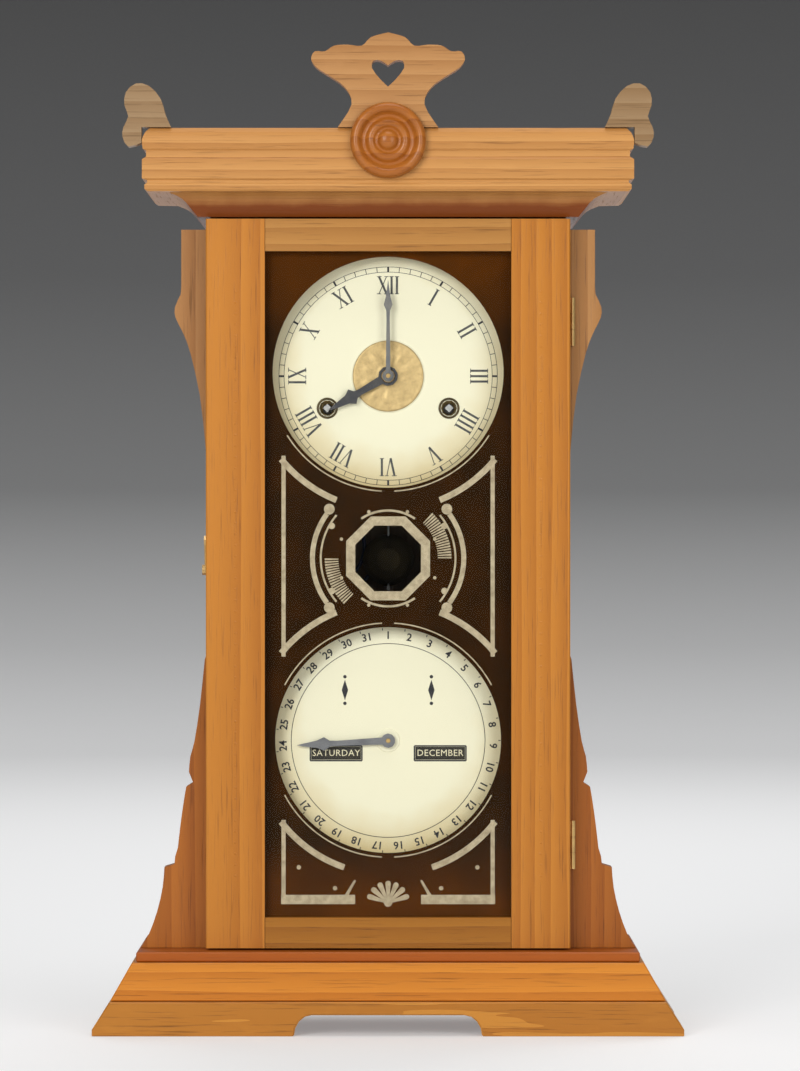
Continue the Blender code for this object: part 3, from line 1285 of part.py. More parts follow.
def motion_work():
    """Minute wheel on its stud and hour wheel with the pipe of the hour hand."""
    first = module_of(CENTRE, MINUTE, CANNON_LEAVES, MINUTE_TEETH)
    second = module_of(CENTRE, MINUTE, MINUTE_LEAVES, HOUR_TEETH)
    bore = MINUTE_STUD_RADIUS + GAP
    teeth = [wheel_loop(MINUTE_TEETH, first, bearing(MINUTE, CENTRE))]
    teeth.append(circle((0, 0), bore, SMALL_ROUND_STEPS))
    disc = sheet(teeth, MINUTE_WHEEL_Y, MINUTE_WHEEL_Y + WHEEL_THICKNESS)
    piece = solid("minute_wheel", disc, BRASS, at(MINUTE))
    leaves = [pinion_loop(MINUTE_LEAVES, second, bearing(MINUTE, CENTRE))]
    leaves.append(circle((0, 0), bore, SMALL_ROUND_STEPS))
    join(piece, sheet(leaves, HOUR_WHEEL_Y - GAP, MINUTE_WHEEL_Y + WHEEL_THICKNESS / 2))
    inner = CENTRE_ARBOR_RADIUS + RUNNING_CLEARANCE
    teeth = [wheel_loop(HOUR_TEETH, second, bearing(CENTRE, MINUTE))]
    teeth.append(circle((0, 0), inner, SMALL_ROUND_STEPS))
    disc = sheet(teeth, HOUR_WHEEL_Y, HOUR_WHEEL_Y + WHEEL_THICKNESS)
    piece = solid("hour_wheel", disc, BRASS, at(CENTRE))
    join(piece, tube(inner, PIPE_RADIUS, HOUR_HAND_Y - GAP, HOUR_WHEEL_Y + WHEEL_THICKNESS / 2))


def wire_mesh(points, radius):
    """Mesh of a bent round wire through the points, with closed ends."""
    path = bpy.data.curves.new("bent_wire", "CURVE")
    path.dimensions = "3D"
    path.bevel_depth = radius
    path.bevel_resolution = 1
    path.use_fill_caps = True
    spline = path.splines.new("POLY")
    spline.points.add(len(points) - 1)
    for target, point in zip(spline.points, points):
        target.co = (*point, 1)
    guide = bpy.data.objects.new("bent_wire", path)
    data = bpy.data.meshes.new_from_object(guide)
    bpy.data.objects.remove(guide, do_unlink=True)
    mesh = bmesh.new()
    mesh.from_mesh(data)
    return mesh


def pendulum():
    """Pendulum rod with its rating nut, and the bob that it passes through."""
    top = -GAP + COCK_RISE
    bottom = -PENDULUM_LENGTH - BOB_RADIUS - RATING_NUT_HEIGHT * 2
    shaft = shifted(standing(rod(PENDULUM_ROD_RADIUS, bottom, top)), (0, PENDULUM_Y, 0))
    piece = solid("pendulum_rod", shaft, STEEL, at(VERGE))
    nut_top = -PENDULUM_LENGTH - BOB_RADIUS - GAP
    nut = standing(rod(RATING_NUT_RADIUS, nut_top - RATING_NUT_HEIGHT, nut_top))
    join(piece, shifted(nut, (0, PENDULUM_Y, 0)))
    half = BOB_THICKNESS / 2
    front_shares = [(0, -1.0), (0.45, -0.88), (0.80, -0.55), (1.0, -0.15)]
    back_shares = [(radius, -depth) for radius, depth in reversed(front_shares)]
    shares = front_shares + back_shares
    profile = [(radius * BOB_RADIUS, PENDULUM_Y + depth * half) for radius, depth in shares]
    lens = shifted(turned(profile, ROUND_STEPS), (0, 0, -PENDULUM_LENGTH))
    bob = solid("pendulum_bob", lens, BRASS, at(VERGE))
    reach = BOB_RADIUS + CUT_OVERRUN
    bore = standing(rod(PENDULUM_ROD_RADIUS + GAP, -PENDULUM_LENGTH - reach, reach - PENDULUM_LENGTH))
    cut(bob, shifted(bore, (0, PENDULUM_Y, 0)))


def strike_work():
    """Hammer on its arbor, and the coil gong on its block."""
    hammer = solid("hammer", arbor(TRAIN_ARBOR_RADIUS), STEEL, at(HAMMER))
    tail_y = BACK_PLATE_BACK_Y + HAMMER_WIRE_RADIUS + RUNNING_CLEARANCE
    tip = (-HAMMER_REACH, -HAMMER_LENGTH)
    path = [(0, tail_y, 0), (0, tail_y, -HAMMER_HEAD_RADIUS), (tip[0], tail_y, tip[1])]
    stub = rod(PIVOT_RADIUS, BACK_PLATE_Y, tail_y + HAMMER_WIRE_RADIUS)
    head = rod(HAMMER_HEAD_RADIUS, tail_y - HAMMER_WIRE_RADIUS, tail_y + HAMMER_HEAD_LENGTH)
    join(hammer, stub, wire_mesh(path, HAMMER_WIRE_RADIUS), shifted(head, at(tip)))
    coil = []
    steps = GONG_TURNS * GONG_STEPS
    start = GONG_BLOCK_RADIUS - GONG_WIRE_RADIUS
    gong_y = PENDULUM_Y + BOB_THICKNESS / 2 + GONG_CLEARANCE
    for step in range(steps + 1):
        angle = math.tau * step / GONG_STEPS
        radius = start + (GONG_RADIUS - start) * step / steps
        coil.append((radius * math.cos(angle), gong_y, radius * math.sin(angle)))
    post = rod(GONG_BLOCK_RADIUS, gong_y - GONG_WIRE_RADIUS * 2, BACK_INNER_Y - GAP, ROUND_STEPS)
    join(solid("gong", post, IRON, at(GONG)), wire_mesh(coil, GONG_WIRE_RADIUS))


def time_movement():
    """The eight-day movement with its strike, and the dials and hands before it."""
    time_dial()
    calendar_dial()
    for side_name, side in SIDES.items():
        dial_upright(side_name, side)
    time_hands()
    movement_plates()
    winding_train("time", "right", TIME_GREAT_Y)
    winding_train("strike", "left", STRIKE_GREAT_Y)
    centre_arbor()
    going_train()
    verge()
    motion_work()
    pendulum()
    strike_work()


# Planes of the calendar movement
ROLLER_Y = DIAL_BACK_Y + ROLLER_DIAL_GAP + ROLLER_RADIUS
ROLLER_Z = CALENDAR_DIAL_Z - WINDOW_DROP
CALENDAR_PLATE_Y = ROLLER_Y + ROLLER_RADIUS + CALENDAR_PLATE_CLEARANCE
CALENDAR_PLATE_BACK_Y = CALENDAR_PLATE_Y + PLATE_THICKNESS
DATE_WHEEL_Y = CALENDAR_PLATE_BACK_Y + DATE_WHEEL_CLEARANCE
LIFT_HIGH_Y = HOUR_WHEEL_Y - LIFT_WHEEL_CLEARANCE - LIFT_WIRE_RADIUS
LIFT_LOW_Y = CALENDAR_PLATE_BACK_Y + LIFT_PLATE_CLEARANCE + LIFT_WIRE_RADIUS
BRACKET_REACH = ROLLER_LENGTH / 2 + BRACKET_CLEARANCE


def calendar_plate_loops():
    """Outline of the calendar frame with two windows above the rollers and two below."""
    half_width = CALENDAR_PLATE_HALF_WIDTH
    half_height = CALENDAR_PLATE_HALF_HEIGHT
    loops = [rectangle(-half_width, half_width, -half_height, half_height)]
    outer_x = half_width - CALENDAR_MARGIN
    outer_z = half_height - CALENDAR_MARGIN
    for low_x, high_x in ((-outer_x, -CALENDAR_MARGIN), (CALENDAR_MARGIN, outer_x)):
        loops.append(rectangle(low_x, high_x, CALENDAR_BAR, outer_z))
        loops.append(rectangle(low_x, high_x, -outer_z, -WINDOW_DROP * 2 - CALENDAR_BAR / 2))
    loops.append(circle((0, 0), DATE_ARBOR_RADIUS + RUNNING_CLEARANCE, SMALL_ROUND_STEPS))
    return loops


def roller_bracket(middle_x):
    """Arm that carries one end of a roller, from the calendar plate forward."""
    half = BRACKET_THICKNESS / 2
    back = CALENDAR_PLATE_Y + PLATE_THICKNESS / 2
    low = (middle_x - half, ROLLER_Y - BRACKET_NOSE, -WINDOW_DROP - BRACKET_HALF_HEIGHT)
    return block(low, (middle_x + half, back, BRACKET_HALF_HEIGHT - WINDOW_DROP))


def calendar_frame():
    """Plate of the calendar with its pillars, roller brackets and the guide of the lift wire."""
    plate_mesh = sheet(calendar_plate_loops(), CALENDAR_PLATE_Y, CALENDAR_PLATE_BACK_Y)
    frame = solid("calendar_frame", plate_mesh, IRON, at(CALENDAR_CENTRE))
    inside = CALENDAR_PLATE_Y + PLATE_THICKNESS / 2
    parts = []
    for side in SIDES.values():
        for level in (-CALENDAR_PILLAR_Z, CALENDAR_PILLAR_Z):
            pillar = rod(CALENDAR_PILLAR_RADIUS, UPRIGHT_BACK_Y + GAP, inside)
            parts.append(shifted(pillar, (side * CALENDAR_PILLAR_X, 0, level)))
        for reach in (-BRACKET_REACH - BRACKET_THICKNESS / 2, BRACKET_REACH + BRACKET_THICKNESS / 2):
            parts.append(roller_bracket(side * WINDOW_OFFSET + reach))
    top = CALENDAR_PLATE_HALF_HEIGHT
    guide_low = (-LIFT_WIRE_X - GUIDE_SIZE / 2, inside, top - GUIDE_SIZE)
    guide_high = (-LIFT_WIRE_X + GUIDE_SIZE / 2, LIFT_LOW_Y + GUIDE_SIZE / 2, top)
    join(frame, *parts, block(guide_low, guide_high))
    reach = WINDOW_OFFSET + BRACKET_REACH + BRACKET_THICKNESS + CUT_OVERRUN
    bearing_hole = lying_along_x(rod(ROLLER_ARBOR_RADIUS + GAP, -reach, reach))
    cut(frame, shifted(bearing_hole, (0, ROLLER_Y, -WINDOW_DROP)))
    guide_hole = rod(LIFT_WIRE_RADIUS + RUNNING_CLEARANCE, 0, top + CUT_OVERRUN)
    cut(frame, shifted(standing(guide_hole), (-LIFT_WIRE_X, LIFT_LOW_Y, 0)))


def date_work():
    """Date wheel on its arbor, and the date hand in front of the dial."""
    profile = [
        (0, DATE_HAND_Y - PIVOT_PROUD),
        (DATE_POST_RADIUS, DATE_HAND_Y - PIVOT_PROUD),
        (DATE_POST_RADIUS, DATE_HAND_Y + HAND_THICKNESS + GAP),
        (DATE_ARBOR_RADIUS, DATE_HAND_Y + HAND_THICKNESS + GAP),
        (DATE_ARBOR_RADIUS, DATE_WHEEL_Y + WHEEL_THICKNESS + PIVOT_PROUD),
        (0, DATE_WHEEL_Y + WHEEL_THICKNESS + PIVOT_PROUD),
    ]
    shaft = solid("date_wheel", turned(profile, SMALL_ROUND_STEPS), BRASS, at(CALENDAR_CENTRE))
    module = DATE_WHEEL_RADIUS / (DATE_TEETH / 2 + TOOTH_TIP_SHARE)
    toothed = wheel(DATE_TEETH, module, math.pi, TRAIN_HUB_RADIUS, DATE_WHEEL_Y, WHEEL_THICKNESS)
    join(shaft, toothed)
    spade = hand_outline(DATE_HAND_LENGTH, DATE_HAND_WIDTH, DATE_SPADE_SHARE)
    angle = math.tau * SHOWN_DATE / DATE_TEETH
    bore = DATE_POST_RADIUS + GAP
    hand("date_hand", CALENDAR_CENTRE, spade, DATE_COLLAR_RADIUS, bore, DATE_HAND_Y, angle)


def roller(name, side):
    """Drum that shows the day or the month through its window, with its arbor."""
    end = BRACKET_REACH + BRACKET_THICKNESS + PIVOT_PROUD
    half = ROLLER_LENGTH / 2
    profile = [
        (0, -end),
        (ROLLER_ARBOR_RADIUS, -end),
        (ROLLER_ARBOR_RADIUS, -half),
        (ROLLER_RADIUS, -half),
        (ROLLER_RADIUS, half),
        (ROLLER_ARBOR_RADIUS, half),
        (ROLLER_ARBOR_RADIUS, end),
        (0, end),
    ]
    drum = lying_along_x(turned(profile, ROUND_STEPS))
    return solid(name, drum, BLACK_WOOD, (side * WINDOW_OFFSET, ROLLER_Y, ROLLER_Z))


def lift_wire():
    """Wire that the time movement lifts once a day, with the pawl that moves the date wheel."""
    top_z = TIME_DIAL_Z - LIFT_TOP_DROP
    pawl_z = CALENDAR_DIAL_Z + PAWL_RISE
    path = [
        (-LIFT_WIRE_X + LIFT_FINGER, LIFT_HIGH_Y, top_z),
        (-LIFT_WIRE_X + LIFT_WIRE_RADIUS * 3, LIFT_HIGH_Y, top_z),
        (-LIFT_WIRE_X, LIFT_HIGH_Y, top_z - LIFT_WIRE_RADIUS * 3),
        (-LIFT_WIRE_X, LIFT_HIGH_Y, CALENDAR_DIAL_Z + LIFT_BEND_RISE + LIFT_BEND_LENGTH),
        (-LIFT_WIRE_X, LIFT_LOW_Y, CALENDAR_DIAL_Z + LIFT_BEND_RISE),
        (-LIFT_WIRE_X, LIFT_LOW_Y, pawl_z),
    ]
    piece = solid("lift_wire", wire_mesh(path, LIFT_WIRE_RADIUS), STEEL)
    low = (-LIFT_WIRE_X - LIFT_WIRE_RADIUS, LIFT_LOW_Y - PAWL_SIZE / 2, pawl_z - PAWL_SIZE / 2)
    high = (-LIFT_WIRE_X + PAWL_REACH, LIFT_LOW_Y + PAWL_SIZE / 2, pawl_z + PAWL_SIZE / 2)
    join(piece, block(low, high))


def calendar_movement():
    """Perpetual calendar behind the lower dial."""
    calendar_frame()
    date_work()
    roller("day_roller", SIDES["left"])
    roller("month_roller", SIDES["right"])
    lift_wire()


case()
door()
time_movement()
calendar_movement()
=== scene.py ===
"""Dresses the double-dial calendar shelf clock: finishes, dial printing, painted tablet and fittings."""
import logging
import math
from dataclasses import dataclass
from enum import Enum
from typing import Any, Iterable, Sequence

import bmesh
import bpy
from mathutils import Matrix, Vector


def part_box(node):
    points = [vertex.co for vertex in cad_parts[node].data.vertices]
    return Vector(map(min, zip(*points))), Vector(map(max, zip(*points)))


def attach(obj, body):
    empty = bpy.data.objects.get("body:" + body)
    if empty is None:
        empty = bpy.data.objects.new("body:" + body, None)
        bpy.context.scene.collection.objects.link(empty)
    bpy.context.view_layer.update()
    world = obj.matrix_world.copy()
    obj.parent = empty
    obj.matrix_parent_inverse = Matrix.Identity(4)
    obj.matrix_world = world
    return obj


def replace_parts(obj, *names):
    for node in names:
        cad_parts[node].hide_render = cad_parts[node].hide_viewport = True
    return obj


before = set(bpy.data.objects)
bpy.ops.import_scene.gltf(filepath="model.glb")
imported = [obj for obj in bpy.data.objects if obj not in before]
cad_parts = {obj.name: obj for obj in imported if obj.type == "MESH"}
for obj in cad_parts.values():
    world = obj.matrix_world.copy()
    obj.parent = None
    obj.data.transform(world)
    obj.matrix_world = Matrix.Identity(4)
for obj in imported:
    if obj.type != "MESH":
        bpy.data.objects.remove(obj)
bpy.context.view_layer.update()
LOG = logging.getLogger("calendar_clock")

Colour = tuple[float, float, float]
Mesh = bpy.types.Mesh
Material = bpy.types.Material
Point = tuple[float, float]
MM = 0.001
UPRIGHT_TURN = Matrix.Rotation(math.pi / 2, 4, "X")
FULL_TURN = 2 * math.pi
MERGE_DISTANCE = 0.000001
CAPITAL_SHARE = 0.69
TICK_THICKNESS = 0.00008
FACING_FRONT = (math.pi / 2, 0.0, 0.0)
FACING_BACK = (-math.pi / 2, 0.0, 0.0)


# Node graphs
class Wire:
    """One output socket, whose arithmetic adds Math nodes to its graph."""

    def __init__(self, graph: "Graph", socket: bpy.types.NodeSocket) -> None:
        """Keeps the socket and its graph."""
        self.graph = graph
        self.socket = socket

    def math(self, operation: str, first: Any, second: Any = 0.0) -> "Wire":
        """Adds one Math node."""
        return self.graph.node("ShaderNodeMath", {"operation": operation}, {0: first, 1: second})

    def __add__(self, other: Any) -> "Wire":
        """The sum."""
        return self.math("ADD", self, other)

    def __sub__(self, other: Any) -> "Wire":
        """The difference."""
        return self.math("SUBTRACT", self, other)

    def __rsub__(self, other: Any) -> "Wire":
        """The difference from a number."""
        return self.math("SUBTRACT", other, self)

    def __mul__(self, other: Any) -> "Wire":
        """The product."""
        return self.math("MULTIPLY", self, other)

    def __truediv__(self, other: Any) -> "Wire":
        """The quotient."""
        return self.math("DIVIDE", self, other)

    def __rtruediv__(self, other: Any) -> "Wire":
        """A number divided by this."""
        return self.math("DIVIDE", other, self)

    __radd__ = __add__
    __rmul__ = __mul__

    def above(self, level: float, slope: float) -> "Wire":
        """How far the value is above a level, from nothing to one, at the given slope."""
        settings = {"operation": "MULTIPLY", "use_clamp": True}
        return self.graph.node("ShaderNodeMath", settings, {0: self - level, 1: slope})


class Graph:
    """A node tree that is being drawn up."""

    def __init__(self, tree: bpy.types.NodeTree) -> None:
        """Keeps the tree."""
        self.tree = tree

    def node(self, kind: str, settings: dict | None = None, sockets: dict | None = None,
             outlet: int | str = 0) -> Wire:
        """Adds one node.

        Args:
            kind: the node's type.
            settings: its own properties, and a ramp's stops under "stops".
            sockets: the value or Wire of each input, by name or number.
            outlet: the output that is wanted.

        Returns:
            The wanted output.
        """
        made = self.tree.nodes.new(kind)
        for name, value in (settings or {}).items():
            if name == "stops":
                self.set_stops(made.color_ramp, value)
            else:
                setattr(made, name, value)
        for key, value in (sockets or {}).items():
            if isinstance(value, Wire):
                self.tree.links.new(value.socket, made.inputs[key])
            else:
                made.inputs[key].default_value = value
        return Wire(self, made.outputs[outlet]) if made.outputs else Wire(self, None)

    @staticmethod
    def set_stops(ramp: bpy.types.ColorRamp, stops: Sequence[tuple[float, Colour]]) -> None:
        """Gives a colour ramp its stops.

        Args:
            ramp: the ramp.
            stops: each stop's place and colour.
        """
        while len(ramp.elements) < len(stops):
            ramp.elements.new(1.0)
        for element, (place, colour) in zip(ramp.elements, stops):
            element.position = place
            element.color = (*colour, 1.0)


class Recipe(Graph):
    """The node graph of one material."""

    def __init__(self, name: str) -> None:
        """Starts a material with an empty graph.

        Args:
            name: the material's name.
        """
        self.material = bpy.data.materials.new(name)
        self.material.use_nodes = True
        self.material.node_tree.nodes.clear()
        super().__init__(self.material.node_tree)

    def place(self, scale: Sequence[float] = (1, 1, 1), offset: Sequence[float] = (0, 0, 0)) -> Wire:
        """Object coordinates, moved and stretched.

        Args:
            scale: how far each axis is stretched.
            offset: how far the point is moved.

        Returns:
            The coordinates.
        """
        raw = self.node("ShaderNodeTexCoord", outlet="Object")
        sockets = {"Vector": raw, "Location": offset, "Scale": scale}
        return self.node("ShaderNodeMapping", {}, sockets, "Vector")

    def noise(self, place: Wire, scale: float, detail: float = 3.0, roughness: float = 0.55) -> Wire:
        """A noise value from nothing to one."""
        sockets = {"Vector": place, "Scale": scale, "Detail": detail, "Roughness": roughness}
        return self.node("ShaderNodeTexNoise", {}, sockets, 0)

    def mix(self, share: Any, first: Any, second: Any, blend: str = "MIX") -> Wire:
        """Mixes two colours.

        Args:
            share: how much of the second.
            first: a colour or a Wire.
            second: a colour or a Wire.
            blend: how they are blended.

        Returns:
            The mixed colour.
        """
        ends = [(*value, 1.0) if isinstance(value, tuple) else value for value in (first, second)]
        settings = {"data_type": "RGBA", "blend_type": blend}
        return self.node("ShaderNodeMix", settings, {0: share, 6: ends[0], 7: ends[1]}, 2)

    def axis(self, place: Wire, letter: str) -> Wire:
        """One axis of some coordinates."""
        return self.node("ShaderNodeSeparateXYZ", {}, {0: place}, letter)

    def grit(self, place: Wire) -> Wire:
        """The finest roughness of a paint coat."""
        return self.noise(place, 2200.0, 2.0)

    def bump(self, height: Wire, distance: float, strength: float = 1.0) -> Wire:
        """A normal bent by a height."""
        sockets = {"Height": height, "Distance": distance, "Strength": strength}
        return self.node("ShaderNodeBump", {}, sockets, "Normal")

    def surface(self, **sockets: Any) -> Wire:
        """A Principled shader, its sockets named with underscores for spaces.

        Args:
            sockets: the value or Wire of each socket that is set.

        Returns:
            The shader.
        """
        named = {name.replace("_", " "): value for name, value in sockets.items()}
        colour = named.get("Base Color")
        if isinstance(colour, tuple):
            named["Base Color"] = (*colour, 1.0)
        return self.node("ShaderNodeBsdfPrincipled", {}, named, "BSDF")

    def coat(self, **sockets: Any) -> Material:
        """Ends the graph with a Principled shader and gives the material."""
        return self.finish(self.surface(**sockets))

    def finish(self, shader: Wire) -> Material:
        """Ends the graph and gives the material."""
        self.node("ShaderNodeOutputMaterial", {}, {"Surface": shader})
        return self.material


class Grain(Enum):
    """The way a board's fibres run, as the stretch of its figure and the axis of its rings."""

    UPRIGHT = ((1.0, 1.0, 0.05), "Z")
    ACROSS = ((0.05, 1.0, 1.0), "X")
    DEEP = ((1.0, 0.05, 1.0), "Y")


class Slot(Enum):
    """The record's material slots."""

    GOLDEN_OAK = "golden_oak"
    DARK_OAK = "dark_oak"
    PALE_WOOD = "pale_wood"
    GLASS = "tablet_glass"
    BRASS = "brass"
    STEEL = "steel"
    PAPER = "dial_paper"
    IRON = "cast_iron"


@dataclass(frozen=True)
class Finish:
    """A surface finish, made into a material once."""

    name: str

    def material(self) -> Material:
        """The finish's material."""
        return bpy.data.materials.get(self.name) or self.mixed(Recipe(self.name))

    def mixed(self, recipe: Recipe) -> Material:
        """Draws up the material."""
        raise NotImplementedError


@dataclass(frozen=True)
class Oak(Finish):
    """Shellacked oak with growth rings, open pores and ray flecks."""

    grain: Grain
    tint: Colour
    wood: Colour
    cut: float = 0.0
    coat: float = 0.08
    # the height below which painted shade darkens the board, and how fast it fades in; none when zero
    soot_top: float = 0.0
    soot_fade: float = 0.009
    ring_shade: Colour = (0.56, 0.43, 0.27)

    @property
    def light(self) -> Colour:
        """The pale wood under its tinted coat."""
        return tuple(wood * tint for wood, tint in zip(self.wood, self.tint))

    @property
    def dark(self) -> Colour:
        """The dark of the rings under the same coat."""
        return tuple(light * shade for light, shade in zip(self.light, self.ring_shade))

    def mixed(self, recipe: Recipe) -> Material:
        """Draws up the board's figure.

        Args:
            recipe: the material's empty graph.

        Returns:
            The finished material.
        """
        stretch, axis = self.grain.value
        offset = (0.11 + self.cut, 0.07 + self.cut * 0.7, 0.09 - self.cut * 0.8)
        place = recipe.place(stretch, offset)
        fine = recipe.place([0.6 * value if value < 1 else value for value in stretch], offset)
        rings = recipe.node(
            "ShaderNodeTexWave",
            {"wave_type": "RINGS", "rings_direction": axis, "wave_profile": "SAW"},
            {"Vector": place, "Scale": 34.0, "Distortion": 2.6, "Detail": 3.0, "Detail Scale": 1.4},
            "Fac",
        )
        drift = recipe.noise(place, 13.0, 4.0)
        pores = recipe.noise(fine, 950.0, 2.0).above(0.57, 6.0)
        rays = recipe.noise(recipe.place([0.35 if value < 1 else value for value in stretch]), 120.0)
        tone = drift * 0.75 + rings * 0.45 - 0.12
        body = recipe.mix(tone, self.light, self.dark)
        flecked = recipe.mix(rays.above(0.6, 4.0) * 0.3, body, self.light)
        deep = tuple(value * 0.42 for value in self.dark)
        colour = recipe.mix(pores * (rings * 0.5 + 0.2), flecked, deep)
        # painted shade: the wood below a height is darkened because the cove under the cornice lies in shadow
        if self.soot_top > 0:
            colour = self.sooted(recipe, colour)
        return recipe.coat(
            Base_Color=colour,
            Roughness=drift * 0.16 + pores * 0.18 + 0.3,
            Specular_IOR_Level=0.22,
            Coat_Weight=self.coat,
            Coat_Roughness=0.16,
            Normal=recipe.bump(rings * 0.25 - pores, 0.00012, 0.5),
        )

    def sooted(self, recipe: Recipe, colour: Wire) -> Wire:
        """Paints shade into the hollow below a height: the cove under the cornice is darkened as painted
        shade.

        Args:
            recipe: the board's graph.
            colour: the colour without the painted shade.

        Returns:
            The colour with its painted shade.
        """
        raw = recipe.node("ShaderNodeTexCoord", outlet="Object")
        height = recipe.axis(raw, "Z")
        # a little noise makes the painted shade's edge uneven
        shade_wobble = recipe.noise(raw, 60.0) * 0.004
        share = (self.soot_top + shade_wobble - height).above(0.0, 1 / self.soot_fade)
        red, green, blue = self.dark
        return recipe.mix(share * 0.97, colour, (red * 0.48, green * 0.26, blue * 0.06))


@dataclass(frozen=True)
class Metal(Finish):
    """A metal with dulled patches and fine wear lines."""

    bright: Colour
    dull: Colour
    metallic: float = 1.0
    roughness: float = 0.3
    patch_scale: float = 90.0
    wear_axis: tuple[float, float, float] = (1.0, 1.0, 0.08)

    def mixed(self, recipe: Recipe) -> Material:
        """Draws up the patches and the wear lines.

        Args:
            recipe: the material's empty graph.

        Returns:
            The finished material.
        """
        patches = recipe.noise(recipe.place(), self.patch_scale, 5.0, 0.65)
        lines = recipe.noise(recipe.place(self.wear_axis), 1500.0, 2.0)
        colour = recipe.mix(patches.above(0.42, 2.4), self.bright, self.dull)
        return recipe.coat(
            Base_Color=colour,
            Metallic=self.metallic,
            Roughness=patches * 0.25 + lines * 0.12 + (self.roughness - 0.18),
            Normal=recipe.bump(lines + patches * 0.6, 0.00004, 0.5),
        )


@dataclass(frozen=True)
class DialPaper(Finish):
    """Glazed dial paper that has yellowed towards its rim and is darker towards its foot."""

    centre: tuple[float, float]
    rim_radius: float
    fresh: Colour = (0.89, 0.84, 0.63)
    aged: Colour = (0.68, 0.49, 0.18)
    foot_share: float = 0.19

    def mixed(self, recipe: Recipe) -> Material:
        """Draws up the yellowing, the darkening towards the foot, the foxing and the paper's tooth.

        Args:
            recipe: the material's empty graph.

        Returns:
            The finished material.
        """
        offset = (-self.centre[0], 0.0, -self.centre[1])
        place = recipe.place((1, 0, 1), offset)
        radius = recipe.node("ShaderNodeVectorMath", {"operation": "LENGTH"}, {0: place}, "Value")
        clouds = recipe.noise(place, 45.0, 5.0)
        tooth = recipe.noise(place, 1800.0, 2.0)
        height = recipe.axis(place, "Z") / self.rim_radius
        # the toning grows towards the rim and also towards the foot, so the paper is darker towards the
        # bottom
        edge = (radius / self.rim_radius + clouds * 0.3 - height * self.foot_share).above(0.84, 2.2)
        toned = recipe.mix(edge * 0.8, self.fresh, self.aged)
        spots = recipe.noise(place, 260.0, 4.0, 0.7).above(0.66, 5.0)
        colour = recipe.mix(spots * 0.22, toned, (0.42, 0.26, 0.12))
        return recipe.coat(
            Base_Color=colour,
            Specular_IOR_Level=0.3,
            Roughness=clouds * 0.2 + 0.45,
            Normal=recipe.bump(tooth, 0.00003, 0.4),
        )


@dataclass(frozen=True)
class Paint(Finish):
    """A flat colour coat, worn or clouded by a second tone."""

    colour: Colour
    second: Colour
    share: float = 0.5
    scale: float = 120.0
    roughness: float = 0.45
    metallic: float = 0.0
    specular: float = 0.3

    def mixed(self, recipe: Recipe) -> Material:
        """Draws up the clouding and the brush marks.

        Args:
            recipe: the material's empty graph.

        Returns:
            The finished material.
        """
        place = recipe.place()
        clouds = recipe.noise(place, self.scale, 5.0, 0.6)
        grit = recipe.grit(place)
        colour = recipe.mix(clouds.above(0.38, 2.5) * self.share, self.colour, self.second)
        return recipe.coat(
            Base_Color=colour,
            Metallic=self.metallic,
            Specular_IOR_Level=self.specular,
            Roughness=clouds * 0.2 + grit * 0.08 + (self.roughness - 0.12),
            Normal=recipe.bump(grit + clouds, 0.00003, 0.5),
        )


@dataclass(frozen=True)
class TabletPaint(Finish):
    """Black paint on the glass's back, browner towards its head and foot."""

    colour: Colour = (0.022, 0.009, 0.002)
    # thin: the browner tone that the paint takes towards the head and foot
    thin: Colour = (0.105, 0.028, 0.001)
    head: float = 0.435
    foot: float = 0.118
    fade: float = 0.045

    def mixed(self, recipe: Recipe) -> Material:
        """Draws up the browner head and foot and the clouding.

        Args:
            recipe: the material's empty graph.

        Returns:
            The finished material.
        """
        place = recipe.place()
        height = recipe.axis(place, "Z")
        clouds = recipe.noise(place, 26.0, 5.0, 0.6)
        grit = recipe.grit(place)
        ends = (height - self.head).above(0.0, 1 / self.fade) + (self.foot - height).above(0.0, 1 / self.fade)
        share = clouds.above(0.42, 2.5) * 0.3 + ends * (clouds * 0.5 + 0.45)
        return recipe.coat(
            Base_Color=recipe.mix(share.above(0.0, 1.0), self.colour, self.thin),
            Specular_IOR_Level=0.02,
            Roughness=clouds * 0.2 + grit * 0.08 + 0.38,
            Normal=recipe.bump(grit + clouds, 0.00003, 0.5),
        )


@dataclass(frozen=True)
class WindowGlass(Finish):
    """Old thin sheet glass, slightly wavy, clear to what lies behind."""

    tint: Colour = (0.985, 0.99, 0.98)
    gloss_share: float = 0.16

    def mixed(self, recipe: Recipe) -> Material:
        """Draws up the glass as a clear and a glossy part, shared by Fresnel.

        Args:
            recipe: the material's empty graph.

        Returns:
            The finished material.
        """
        waves = recipe.noise(recipe.place((1, 1, 0.4)), 16.0, 2.0)
        normal = recipe.bump(waves, 0.0006, 0.35)
        clear = recipe.node("ShaderNodeBsdfTransparent", {}, {"Color": (*self.tint, 1.0)})
        gloss = recipe.node(
            "ShaderNodeBsdfGlossy", {}, {"Color": (1, 1, 1, 1), "Roughness": 0.06, "Normal": normal}
        )
        edge = recipe.node("ShaderNodeFresnel", {}, {"IOR": 1.45, "Normal": normal})
        inside = recipe.node("ShaderNodeNewGeometry", outlet="Backfacing")
        share = edge * (1 - inside) * self.gloss_share
        return recipe.finish(recipe.node("ShaderNodeMixShader", {}, {0: share, 1: clear, 2: gloss}))


